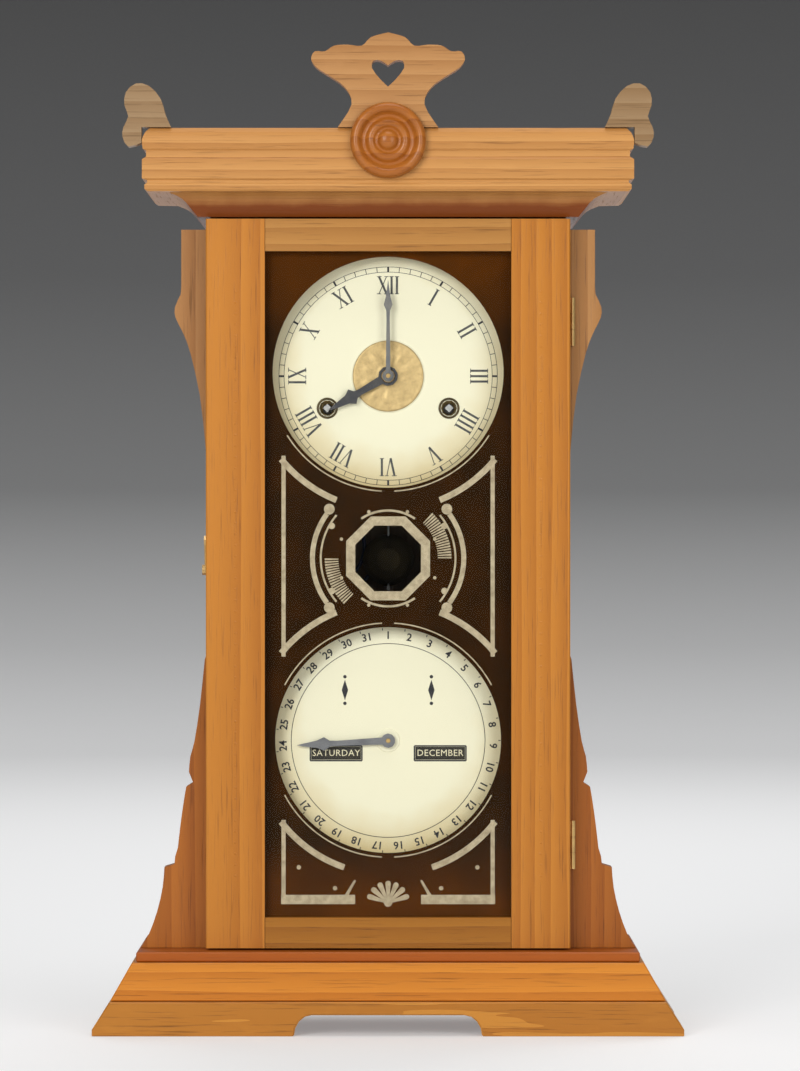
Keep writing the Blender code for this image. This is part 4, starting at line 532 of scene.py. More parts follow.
@dataclass(frozen=True)
class Sweep(Finish):
    """The studio's paper sweep: pale on the floor, greyed up the wall by painted shade."""

    # the paper's grey at points along the run: painted shade that darkens the sweep up the wall
    tones: tuple[Point, ...] = (
        (0.30, 0.70), (0.48, 0.85), (0.65, 0.55), (0.90, 0.24), (1.25, 0.14), (1.70, 0.09)
    )
    floor_share: float = 0.05
    start: float = 0.3
    glow: float = 0.35
    rays: tuple[str, ...] = ("Camera", "Glossy", "Transmission")

    def mixed(self, recipe: Recipe) -> Material:
        """Draws up the painted shade by the run from the front of the floor to the top of the wall.

        Args:
            recipe: the material's empty graph.

        Returns:
            The finished material.
        """
        raw = recipe.node("ShaderNodeTexCoord", outlet="Object")
        height = recipe.axis(raw, "Z")
        depth = recipe.axis(raw, "Y")
        # the run also rises with depth, so the painted shade changes across the floor as well
        run = height + depth * self.floor_share + self.start
        top = self.tones[-1][0]
        stops = [(place / top, (grey, grey, grey)) for place, grey in self.tones]
        shade = recipe.node("ShaderNodeValToRGB", {"stops": stops}, {"Fac": run / top}, "Color")
        kinds = [recipe.node("ShaderNodeLightPath", outlet=f"Is {kind} Ray") for kind in self.rays]
        seen = sum(kinds[1:], kinds[0]).above(0.0, 1.0)
        fibres = recipe.noise(raw, 420.0)
        return recipe.coat(
            Base_Color=recipe.mix(fibres * 0.04, shade, (0.5, 0.5, 0.5)),
            Emission_Color=recipe.mix(seen, (0.0, 0.0, 0.0), shade),
            Emission_Strength=self.glow,
            Roughness=0.9,
            Specular_IOR_Level=0.0,
        )


# Coats, wood tones and the finishes of each piece; some boards' tones carry painted light and shade
AMBER = (0.90, 0.74, 0.40)
# a greyer tint for the head rail, cornice, crest, ears and upper wings
GREY_TINT = (0.88, 0.88, 0.84)
BARE = (1.0, 1.0, 1.0)
PINE_SHADE = (0.60, 0.52, 0.44)
# the height below which the cornice's cove and returns get painted shade
PAINTED_SHADE_TOP = 0.5195
STILE_OAK = Oak("stile_oak", Grain.UPRIGHT, AMBER, (0.66, 0.31, 0.075), 0.00)
HEAD_RAIL_OAK = Oak("head_rail_oak", Grain.ACROSS, GREY_TINT, (0.60, 0.29, 0.075), 0.16)
FOOT_RAIL_OAK = Oak("foot_rail_oak", Grain.ACROSS, AMBER, (0.48, 0.24, 0.05), 0.03)
SIDE_OAK = Oak("side_oak", Grain.UPRIGHT, BARE, (0.50, 0.22, 0.05), 0.05)
CORNICE_OAK = Oak("cornice_oak", Grain.ACROSS, GREY_TINT, (0.74, 0.37, 0.12), 0.08, soot_top=PAINTED_SHADE_TOP)
RETURN_OAK = Oak("return_oak", Grain.DEEP, BARE, (0.60, 0.28, 0.08), 0.02, soot_top=PAINTED_SHADE_TOP)
CREST_OAK = Oak("crest_oak", Grain.ACROSS, GREY_TINT, (0.60, 0.31, 0.12), 0.11)
# the ears' greyer tone holds painted top light as well as the wood's colour
EAR_OAK = Oak("ear_oak", Grain.ACROSS, GREY_TINT, (0.40, 0.26, 0.14), 0.14)
# the wings' darker tones are painted shade, as the wings stand back from the door's face
UPPER_WING_OAK = Oak("upper_wing_oak", Grain.UPRIGHT, GREY_TINT, (0.54, 0.27, 0.10), 0.10)
LOWER_WING_OAK = Oak("lower_wing_oak", Grain.UPRIGHT, AMBER, (0.50, 0.20, 0.05), 0.17)
# the apron's brighter tone is painted light on the base's forward face
APRON_OAK = Oak("apron_oak", Grain.ACROSS, AMBER, (0.90, 0.42, 0.09), 0.06)
# the ledge's very dark tone is a painted shadow line between the base and the door
LEDGE_OAK = Oak("ledge_oak", Grain.ACROSS, AMBER, (0.50, 0.15, 0.02), 0.19)
BASE_OAK = Oak("base_oak", Grain.ACROSS, AMBER, (0.72, 0.38, 0.11), 0.13)
BASE_END_OAK = Oak("base_end_oak", Grain.DEEP, BARE, (0.56, 0.26, 0.07), 0.09)
ROSETTE_OAK = Oak("rosette_oak", Grain.ACROSS, AMBER, (0.52, 0.21, 0.05), 0.21, 0.3)
PINE = Oak("pine_board", Grain.UPRIGHT, BARE, (0.42, 0.29, 0.16), 0.24, 0.0, ring_shade=PINE_SHADE)
TOP_PINE = Oak("top_pine", Grain.ACROSS, BARE, (0.42, 0.29, 0.16), 0.07, 0.0, ring_shade=PINE_SHADE)
BRASS = Metal("aged_brass", (0.70, 0.47, 0.19), (0.40, 0.25, 0.10), 1.0, 0.34)
PLATE_BRASS = Metal("plate_brass", (0.74, 0.52, 0.22), (0.48, 0.31, 0.12), 1.0, 0.36, 40.0)
EMBOSSED_BRASS = Metal("embossed_brass", (0.60, 0.43, 0.20), (0.36, 0.25, 0.11), 0.7, 0.44, 260.0, (1, 1, 1))
STEEL = Metal("polished_steel", (0.50, 0.50, 0.49), (0.30, 0.29, 0.28), 1.0, 0.34)
GREY_STEEL = Metal("grey_steel", (0.20, 0.20, 0.21), (0.10, 0.10, 0.11), 0.6, 0.4)
BLUED_STEEL = Metal("blued_steel", (0.05, 0.06, 0.11), (0.03, 0.03, 0.04), 0.9, 0.34)
HOUR_STEEL = Metal("hour_hand_steel", (0.045, 0.045, 0.052), (0.085, 0.078, 0.070), 0.4, 0.42)
MINUTE_STEEL = Metal("minute_hand_steel", (0.15, 0.15, 0.155), (0.22, 0.20, 0.17), 0.5, 0.42)
IRON = Metal("cast_iron_boss", (0.05, 0.05, 0.05), (0.09, 0.06, 0.04), 0.7, 0.62)
INK = Paint("printing_ink", (0.022, 0.022, 0.028), (0.09, 0.08, 0.07), 0.5, 300.0, 0.6)
FADED_INK = Paint("faded_ink", (0.060, 0.062, 0.066), (0.20, 0.19, 0.16), 0.6, 300.0, 0.65)
BLACK_PAINT = TabletPaint("tablet_black")
ROLLER_BLACK = Paint("roller_black", (0.034, 0.031, 0.026), (0.075, 0.062, 0.042), 0.6, 90.0, 0.55)
NAME_PAINT = Paint("name_paint", (0.82, 0.75, 0.53), (0.72, 0.63, 0.41), 0.5, 200.0, 0.55)
SILVER = Paint("silver_leaf", (0.52, 0.43, 0.29), (0.20, 0.15, 0.09), 0.75, 240.0, 0.45, 0.2, 0.1)
# dark dull brass; on the pendulum bob it is painted shade for the unlit inside of the case, and it also
# colours the rings round the winding holes
DARK_BRASS_AND_SHADE = Metal("dark_brass_and_shade", (0.09, 0.065, 0.03), (0.04, 0.03, 0.018), 0.8, 0.45)
GLASS = WindowGlass("tablet_pane")


# Mesh helpers
def placed(name: str, mesh: Mesh, finish: Finish, body: str) -> bpy.types.Object:
    """Turns a mesh in its final place into a piece that rides on a body.

    Args:
        name: the piece's name.
        mesh: its mesh, in the clock's own frame.
        finish: what it is finished with.
        body: the body that carries it.

    Returns:
        The new piece.
    """
    mesh.materials.clear()
    mesh.materials.append(finish.material())
    piece = bpy.data.objects.new(name, mesh)
    bpy.context.scene.collection.objects.link(piece)
    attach(piece, body)
    return piece


def closed_mesh(name: str, shape: bmesh.types.BMesh, smooth: bool = False) -> Mesh:
    """Merges a shape's doubles, points its faces outwards and makes it a mesh.

    Args:
        name: the mesh's name.
        shape: the shape, which is used up.
        smooth: whether its faces are.

    Returns:
        The mesh.
    """
    bmesh.ops.remove_doubles(shape, verts=shape.verts, dist=MERGE_DISTANCE)
    bmesh.ops.recalc_face_normals(shape, faces=shape.faces)
    mesh = bpy.data.meshes.new(name)
    for face in shape.faces:
        face.smooth = smooth
    shape.to_mesh(mesh)
    shape.free()
    return mesh


def flattened(holder: bpy.types.Object) -> Mesh:
    """The mesh of a curve, a text or an object with modifiers, whose holder is then removed.

    Args:
        holder: the object, which is not in the scene yet.

    Returns:
        Its mesh.
    """
    bpy.context.scene.collection.objects.link(holder)
    graph = bpy.context.evaluated_depsgraph_get()
    mesh = bpy.data.meshes.new_from_object(holder.evaluated_get(graph))
    bpy.data.objects.remove(holder)
    return mesh


def on_circle(radius: float, degrees: float, centre: Point = (0.0, 0.0)) -> Point:
    """A point on a circle, with the angle clockwise from the top as on a dial."""
    angle = math.radians(degrees)
    return (centre[0] + radius * math.sin(angle), centre[1] + radius * math.cos(angle))


class FlatWork:
    """Thin shapes that face the front, drawn as (x, z) outlines and gathered into one mesh.

    Each stroke lies a hair behind the one before, so that crossing strokes share no face.
    """

    layers = 12
    layer_step = 0.000003
    degrees_per_step = 3

    def __init__(self, front: float, thickness: float) -> None:
        """Sets where the shapes' front lies and how thick they are.

        Args:
            front: the y of the first layer's front.
            thickness: how thick each shape is.
        """
        self.front = front
        self.thickness = thickness
        self.layer = 0
        self.shape = bmesh.new()

    def near(self) -> float:
        """The y of the present layer's front."""
        return self.front + self.layer % self.layers * self.layer_step

    def outline(self, points: Sequence[Point]) -> None:
        """Adds a plate with the given outline, on the present layer.

        Args:
            points: its corners in order.
        """
        near = self.near()
        front = [self.shape.verts.new((x, near, z)) for x, z in points]
        back = [self.shape.verts.new((x, near + self.thickness, z)) for x, z in points]
        self.shape.faces.new(front)
        self.shape.faces.new(back[::-1])
        for index in range(len(points)):
            after = (index + 1) % len(points)
            self.shape.faces.new((front[index], back[index], back[after], front[after]))

    def bar(self, start: Point, end: Point, width: float, end_width: float | None = None) -> None:
        """Adds a straight bar, which may taper.

        Args:
            start: the middle of one end.
            end: the middle of the other.
            width: its width.
            end_width: its width at the other end, where that differs.
        """
        self.layer += 1
        run = Vector(end) - Vector(start)
        side = Vector((-run.y, run.x)).normalized() / 2
        near, far = side * width, side * (width if end_width is None else end_width)
        corners = (Vector(start) - near, Vector(end) - far, Vector(end) + far, Vector(start) + near)
        self.outline([tuple(corner) for corner in corners])

    def band(self, centre: Point, inner: float, outer: float, start: float = 0.0,
             end: float = 360.0) -> None:
        """Adds part of a ring, between two dial angles.

        Args:
            centre: the ring's centre.
            inner: its inner radius.
            outer: its outer radius.
            start: the angle where it starts.
            end: the angle where it ends.
        """
        self.layer += 1
        near = self.near()
        steps = max(int(abs(end - start) / self.degrees_per_step), 2)
        whole = abs(end - start) >= 360.0
        rows = []
        for step in range(steps if whole else steps + 1):
            angle = start + (end - start) * step / steps
            edges = [on_circle(radius, angle, centre) for radius in (inner, outer)]
            corners = [(x, y, z) for y in (near, near + self.thickness) for x, z in edges]
            rows.append([self.shape.verts.new(corner) for corner in corners])
        for row, after in zip(rows, rows[1:] + rows[:1] if whole else rows[1:]):
            for first, second in ((0, 1), (1, 3), (3, 2), (2, 0)):
                self.shape.faces.new((row[first], row[second], after[second], after[first]))
        for row in () if whole else (rows[0], rows[-1]):
            self.shape.faces.new([row[corner] for corner in (0, 1, 3, 2)])

    def disc(self, centre: Point, radius: float, steps: int = 16) -> None:
        """Adds a round spot."""
        self.layer += 1
        self.outline([on_circle(radius, 360 * step / steps, centre) for step in range(steps)])

    def mesh(self, name: str) -> Mesh:
        """The finished mesh.

        Args:
            name: the mesh's name.

        Returns:
            The mesh, facing outwards.
        """
        bmesh.ops.recalc_face_normals(self.shape, faces=self.shape.faces)
        mesh = bpy.data.meshes.new(name)
        self.shape.to_mesh(mesh)
        self.shape.free()
        return mesh


def pierced_sheet(name: str, loops: Iterable[Sequence[Point]], front: float,
                  thickness: float) -> Mesh:
    """A thin sheet that faces the front, its first loop the edge and the others its openings.

    Args:
        name: the mesh's name.
        loops: the outlines.
        front: the y of its front.
        thickness: how thick it is.

    Returns:
        The sheet's mesh.
    """
    curve = bpy.data.curves.new(name, "CURVE")
    curve.dimensions = "2D"
    curve.fill_mode = "BOTH"
    curve.extrude = thickness / 2
    for loop in loops:
        spline = curve.splines.new("POLY")
        spline.points.add(len(loop) - 1)
        for point, (x, z) in zip(spline.points, loop):
            point.co = (x, z, 0, 1)
        spline.use_cyclic_u = True
    mesh = flattened(bpy.data.objects.new(name, curve))
    mesh.transform(Matrix.Translation((0, front + thickness / 2, 0)) @ UPRIGHT_TURN)
    shape = bmesh.new()
    shape.from_mesh(mesh)
    return closed_mesh(name, shape)


def lettering(text: str, height: float, weight: float, thickness: float,
              spacing: float = 1.0) -> Mesh:
    """Plain letters or figures, centred, upright and facing the front.

    Args:
        text: what is written.
        height: the height of a capital.
        weight: how far each stroke is thickened.
        thickness: how thick the letters are.
        spacing: how far apart they stand, as a share of the usual.

    Returns:
        Their mesh, about the origin.
    """
    curve = bpy.data.curves.new("lettering", "FONT")
    curve.body = text
    curve.align_x = "CENTER"
    curve.align_y = "CENTER"
    curve.size = height / CAPITAL_SHARE
    curve.offset = weight
    curve.space_character = spacing
    curve.extrude = thickness / 2
    curve.resolution_u = 2
    mesh = flattened(bpy.data.objects.new("lettering", curve))
    mesh.transform(UPRIGHT_TURN)
    return mesh


def turned(name: str, profile: Sequence[Point], centre: Sequence[float],
           steps: int = 72) -> Mesh:
    """A turned piece about a front-to-back axis, from (radius, y) points that end on the axis.

    Args:
        name: the mesh's name.
        profile: the points.
        centre: the axis as (x, z).
        steps: how many steps go round.

    Returns:
        The turned mesh.
    """
    shape = bmesh.new()
    rings = []
    for radius, y in profile:
        ring = []
        for step in range(steps if radius > 0 else 1):
            x, z = on_circle(radius, 360 * step / steps)
            ring.append(shape.verts.new((centre[0] + x, y, centre[1] + z)))
        rings.append(ring)
    for ring, after in zip(rings, rings[1:]):
        for step in range(steps):
            follow = (step + 1) % steps
            corners = [ring[step % len(ring)], ring[follow % len(ring)]]
            corners += [after[follow % len(after)], after[step % len(after)]]
            shape.faces.new(list(dict.fromkeys(corners)))
    return closed_mesh(name, shape, True)


class Pattern(Graph):
    """A Geometry Nodes tree for what repeats or follows a rule."""

    def __init__(self, name: str, **sizes: float) -> None:
        """Starts a tree with one named input for each size.

        Args:
            name: the tree's name.
            sizes: the value of each input, by its name.
        """
        tree = bpy.data.node_groups.new(name, "GeometryNodeTree")
        super().__init__(tree)
        self.name = name
        tree.interface.new_socket("Geometry", in_out="OUTPUT", socket_type="NodeSocketGeometry")
        self.given: dict[str, float] = {}
        for label, value in sizes.items():
            kind = "NodeSocketInt" if isinstance(value, int) else "NodeSocketFloat"
            socket = tree.interface.new_socket(label, in_out="INPUT", socket_type=kind)
            self.given[socket.identifier] = value
        self.inputs = tree.nodes.new("NodeGroupInput")

    def size(self, label: str) -> Wire:
        """The tree's input with that name."""
        return Wire(self, self.inputs.outputs[label])

    def vector(self, x: Any = 0.0, y: Any = 0.0, z: Any = 0.0) -> Wire:
        """A vector from three values."""
        return self.node("ShaderNodeCombineXYZ", {}, {0: x, 1: y, 2: z})

    def ball(self, radius: Wire, segments: int, rings: int) -> Wire:
        """A small ball with few faces."""
        sockets = {"Segments": segments, "Rings": rings, "Radius": radius}
        return self.node("GeometryNodeMeshUVSphere", {}, sockets, "Mesh")

    def scattered(self, points: Wire, shape: Wire, **sockets: Any) -> Wire:
        """One copy of a shape on each point.

        Args:
            points: where the copies go.
            shape: what is copied.
            sockets: the copies' turn or scale.

        Returns:
            The copies.
        """
        inputs = {"Points": points, "Instance": shape, **sockets}
        return self.node("GeometryNodeInstanceOnPoints", {}, inputs)

    def block(self, x: Any, y: Any, z: Any) -> Wire:
        """A block with the given sides."""
        return self.node("GeometryNodeMeshCube", {}, {"Size": self.vector(x, y, z)}, "Mesh")

    def moved(self, geometry: Wire, **sockets: Any) -> Wire:
        """A shape with a Translation, Rotation or Scale."""
        return self.node("GeometryNodeTransform", {}, {"Geometry": geometry, **sockets})

    def mesh(self, geometry: Wire, finish: Finish) -> Mesh:
        """Realizes the pattern and makes it a plain mesh.

        Args:
            geometry: what the tree has grown.
            finish: its finish.

        Returns:
            The plain mesh.
        """
        real = self.node("GeometryNodeRealizeInstances", {}, {0: geometry})
        done = self.node("GeometryNodeSetMaterial", {}, {"Geometry": real, "Material": finish.material()})
        self.node("NodeGroupOutput", {"is_active_output": True}, {0: done})
        holder = bpy.data.objects.new(self.name, bpy.data.meshes.new(self.name))
        modifier = holder.modifiers.new(self.name, "NODES")
        modifier.node_group = self.tree
        for identifier, value in self.given.items():
            modifier[identifier] = value
        mesh = flattened(holder)
        mesh.name = self.name
        return mesh


def tick_ring(name: str, count: int, radius: float, length: float, width: float, centre: Point,
              front: float, finish: Finish) -> Mesh:
    """Radial ticks round a dial, by Geometry Nodes.

    Args:
        name: the tree's name.
        count: how many ticks.
        radius: the radius of their middle.
        length: each tick's length along the radius.
        width: its width.
        centre: the dial's centre as (x, z).
        front: the y of their front.
        finish: their finish.

    Returns:
        Their mesh, in place.
    """
    pattern = Pattern(name, Count=count, Radius=radius, Length=length, Width=width, Front=front,
                      Centre_X=centre[0], Centre_Z=centre[1])
    sockets = {"Vertices": pattern.size("Count"), "Radius": pattern.size("Radius")}
    circle = pattern.node("GeometryNodeMeshCircle", {}, sockets)
    tick = pattern.block(pattern.size("Length"), pattern.size("Width"), TICK_THICKNESS)
    index = pattern.node("GeometryNodeInputIndex")
    turn = pattern.vector(z=index * FULL_TURN / pattern.size("Count"))
    ticks = pattern.scattered(circle, tick, Rotation=turn)
    place = pattern.vector(*(pattern.size(label) for label in ("Centre_X", "Front", "Centre_Z")))
    return pattern.mesh(pattern.moved(ticks, Rotation=FACING_FRONT, Translation=place), finish)


def bead_run(name: str, start: Sequence[float], end: Sequence[float], pitch: float, radius: float,
             finish: Finish) -> Mesh:
    """A straight run of low beads, by Geometry Nodes.

    Args:
        name: the tree's name.
        start: the first bead's middle.
        end: the last bead's middle.
        pitch: the step between beads, at least.
        radius: a bead's radius.
        finish: their finish.

    Returns:
        Their mesh, in place.
    """
    run = Vector(end) - Vector(start)
    pattern = Pattern(name, Count=int(run.length / pitch) + 1, Radius=radius)
    settings = {"mode": "END_POINTS"}
    sockets = {"Count": pattern.size("Count"), "Start Location": tuple(start), "Offset": tuple(end)}
    line = pattern.node("GeometryNodeMeshLine", settings, sockets)
    bead = pattern.ball(pattern.size("Radius"), 10, 6)
    return pattern.mesh(pattern.scattered(line, bead, Scale=(1.0, 0.5, 1.0)), finish)


def screw_heads(name: str, places: Sequence[Sequence[float]], radius: float, turn: Sequence[float],
                finish: Finish) -> Mesh:
    """Low round screw heads with a slot, by Geometry Nodes.

    Args:
        name: the tree's name.
        places: where the heads' feet are.
        radius: the heads' radius.
        turn: the rotation that points +Z out of the surface.
        finish: their finish.

    Returns:
        Their mesh, in place.
    """
    head_rise = 0.26
    groove_length, groove_width, groove_height, groove_lift = 3.0, 0.24, 0.4, 0.32
    pattern = Pattern(name, Radius=radius)
    size = pattern.size("Radius")
    low = pattern.moved(pattern.ball(size, 16, 8), Scale=(1.0, 1.0, head_rise))
    groove = pattern.block(size * groove_length, size * groove_width, size * groove_height)
    lift = pattern.vector(z=size * groove_lift)
    cuts = {"Mesh 1": low, "Mesh 2": pattern.moved(groove, Translation=lift)}
    slotted = pattern.node("GeometryNodeMeshBoolean", {"operation": "DIFFERENCE"}, cuts)
    joined = pattern.tree.nodes.new("GeometryNodeJoinGeometry")
    for number, place in enumerate(places):
        spun = pattern.moved(slotted, Rotation=(0.0, 0.0, 0.7 + number * 1.1))
        put = pattern.moved(spun, Rotation=turn, Translation=tuple(place))
        pattern.tree.links.new(put.socket, joined.inputs[0])
    return pattern.mesh(Wire(pattern, joined.outputs[0]), finish)


def dress(finish: Finish, *nodes: str) -> None:
    """Gives CAD nodes a finish.

    Args:
        finish: the finish.
        nodes: the nodes' names.
    """
    for name in nodes:
        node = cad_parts[name]
        for slot in node.material_slots:
            slot.material = finish.material()


def both(name: str) -> tuple[str, str]:
    """The names of a pair of nodes, left and right."""
    return (f"{name}_left", f"{name}_right")


def open_face(node: str, way: int) -> float:
    """The y of a node's widest face that looks along y in the given way.

    Args:
        node: the CAD node.
        way: -1 for the front, 1 for the back.

    Returns:
        The face's y.
    """
    areas: dict[float, float] = {}
    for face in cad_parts[node].data.polygons:
        if face.normal.y * way > 0.9:
            y = round(face.center.y, 5)
            areas[y] = areas.get(y, 0.0) + face.area
    return max(areas, key=lambda y: areas[y])


def middle(node: str) -> Vector:
    """The middle of a CAD node's box."""
    low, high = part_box(node)
    return (low + high) / 2


# The clock's sub-assemblies
@dataclass
class Case:
    """The oak case with its base, cornice, crest, ears and wings."""

    rosette_steps: int = 96

    def build(self) -> None:
        """Makes the turned rosette."""
        low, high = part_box("rosette")
        radius = (high.x - low.x) / 2
        depth = high.y - low.y
        shares = (
            (0.0, 0.02), (0.10, 0.03), (0.19, 0.12), (0.24, 0.30), (0.27, 0.52), (0.33, 0.56), (0.36, 0.40),
            (0.41, 0.28), (0.47, 0.26), (0.53, 0.34), (0.57, 0.52), (0.62, 0.66), (0.69, 0.60), (0.73, 0.34),
            (0.78, 0.12), (0.84, 0.02), (0.90, 0.05), (0.95, 0.18), (0.985, 0.42), (1.0, 0.66), (1.0, 1.0),
            (0.0, 1.0),
        )
        profile = [(share * radius, low.y + depth * back) for share, back in shares]
        centre = ((low.x + high.x) / 2, (low.z + high.z) / 2)
        mesh = turned("turned_rosette", profile, centre, self.rosette_steps)
        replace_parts(placed("turned_rosette", mesh, ROSETTE_OAK, "case"), "rosette")

    def dress(self) -> None:
        """Gives every board its wood."""
        dress(SIDE_OAK, *both("case_side"))
        dress(PINE, "back_board", *both("dial_upright"))
        dress(TOP_PINE, "top_board")
        dress(CORNICE_OAK, "cornice_front")
        dress(RETURN_OAK, *both("cornice_return"))
        dress(CREST_OAK, "crest_board")
        dress(EAR_OAK, *both("ear"))
        dress(UPPER_WING_OAK, *both("upper_wing"))
        dress(LOWER_WING_OAK, *both("lower_wing"))
        dress(APRON_OAK, "apron")
        dress(LEDGE_OAK, "base_board")
        dress(BASE_OAK, "base_front")
        dress(BASE_END_OAK, *both("base_end"))
        dress(ROSETTE_OAK, "rosette")


@dataclass
class Door:
    """The door's frame with its beads, hinges, hook and glass strips."""

    bead_radius: float = 0.0011
    bead_pitch: float = 0.0068
    bead_margin: float = 0.045
    bead_lift: float = 0.0003
    strip_depth: float = 0.0028
    strip_width: float = 0.0030
    strip_gap: float = 0.0002
    strip_back: float = 0.0012
    strip_round: float = 0.0005
    screw_radius: float = 0.0013
    screw_inset: float = 0.0042
    screw_shares: tuple[float, ...] = (0.15, 0.5, 0.85)

    def build(self) -> None:
        """Makes the beads, the strips and the hinge screws."""
        self.build_beads()
        self.build_strips()
        self.build_screws()

    def build_beads(self) -> None:
        """Runs a row of low beads up the middle of each stile."""
        for side in ("left", "right"):
            low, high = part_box(f"door_stile_{side}")
            x, y = (low.x + high.x) / 2, low.y + self.bead_lift
            start, end = (x, y, low.z + self.bead_margin), (x, y, high.z - self.bead_margin)
            mesh = bead_run(f"stile_beads_{side}", start, end, self.bead_pitch, self.bead_radius, STILE_OAK)
            placed(f"stile_beads_{side}", mesh, STILE_OAK, "door")

    def build_strips(self) -> None:
        """Lays a wooden strip behind each edge of the glass."""
        low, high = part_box("door_glass")
        shape = bmesh.new()
        middle_y = high.y + self.strip_back + self.strip_depth / 2
        width = self.strip_width
        inner = width + self.strip_gap
        spans = (
            ((low.x, low.z), (low.x + width, high.z)),
            ((high.x - width, low.z), (high.x, high.z)),
            ((low.x + inner, low.z), (high.x - inner, low.z + width)),
            ((low.x + inner, high.z - width), (high.x - inner, high.z)),
        )
        for (x0, z0), (x1, z1) in spans:
            size = Matrix.Diagonal((x1 - x0, self.strip_depth, z1 - z0, 1.0))
            place = Matrix.Translation(((x0 + x1) / 2, middle_y, (z0 + z1) / 2))
            made = bmesh.ops.create_cube(shape, size=1.0, matrix=place @ size)
            edges = list(dict.fromkeys(edge for vert in made["verts"] for edge in vert.link_edges))
            bmesh.ops.bevel(shape, geom=edges, offset=self.strip_round, segments=2, affect="EDGES")
        placed("glass_strips", closed_mesh("glass_strips", shape), PINE, "door")

    def build_screws(self) -> None:
        """Screws each hinge leaf to the door and to the case."""
        for part, body, turn in (("moving", "door", FACING_BACK), ("fixed", "case", FACING_FRONT)):
            places = []
            for level in ("lower", "upper"):
                low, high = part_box(f"hinge_{level}_{part}")
                face = open_face(f"hinge_{level}_{part}", 1 if part == "moving" else -1)
                for share in self.screw_shares:
                    places.append((low.x + self.screw_inset, face, low.z + (high.z - low.z) * share))
            name = f"hinge_screws_{part}"
            placed(name, screw_heads(name, places, self.screw_radius, turn, BRASS), BRASS, body)

    def dress(self) -> None:
        """Gives the door's pieces their finishes."""
        dress(STILE_OAK, *both("door_stile"))
        dress(HEAD_RAIL_OAK, "door_rail_top")
        dress(FOOT_RAIL_OAK, "door_rail_bottom")
        leaves = [f"hinge_{level}_{part}" for level in ("lower", "upper") for part in ("fixed", "moving")]
        dress(BRASS, *leaves, "door_hook")


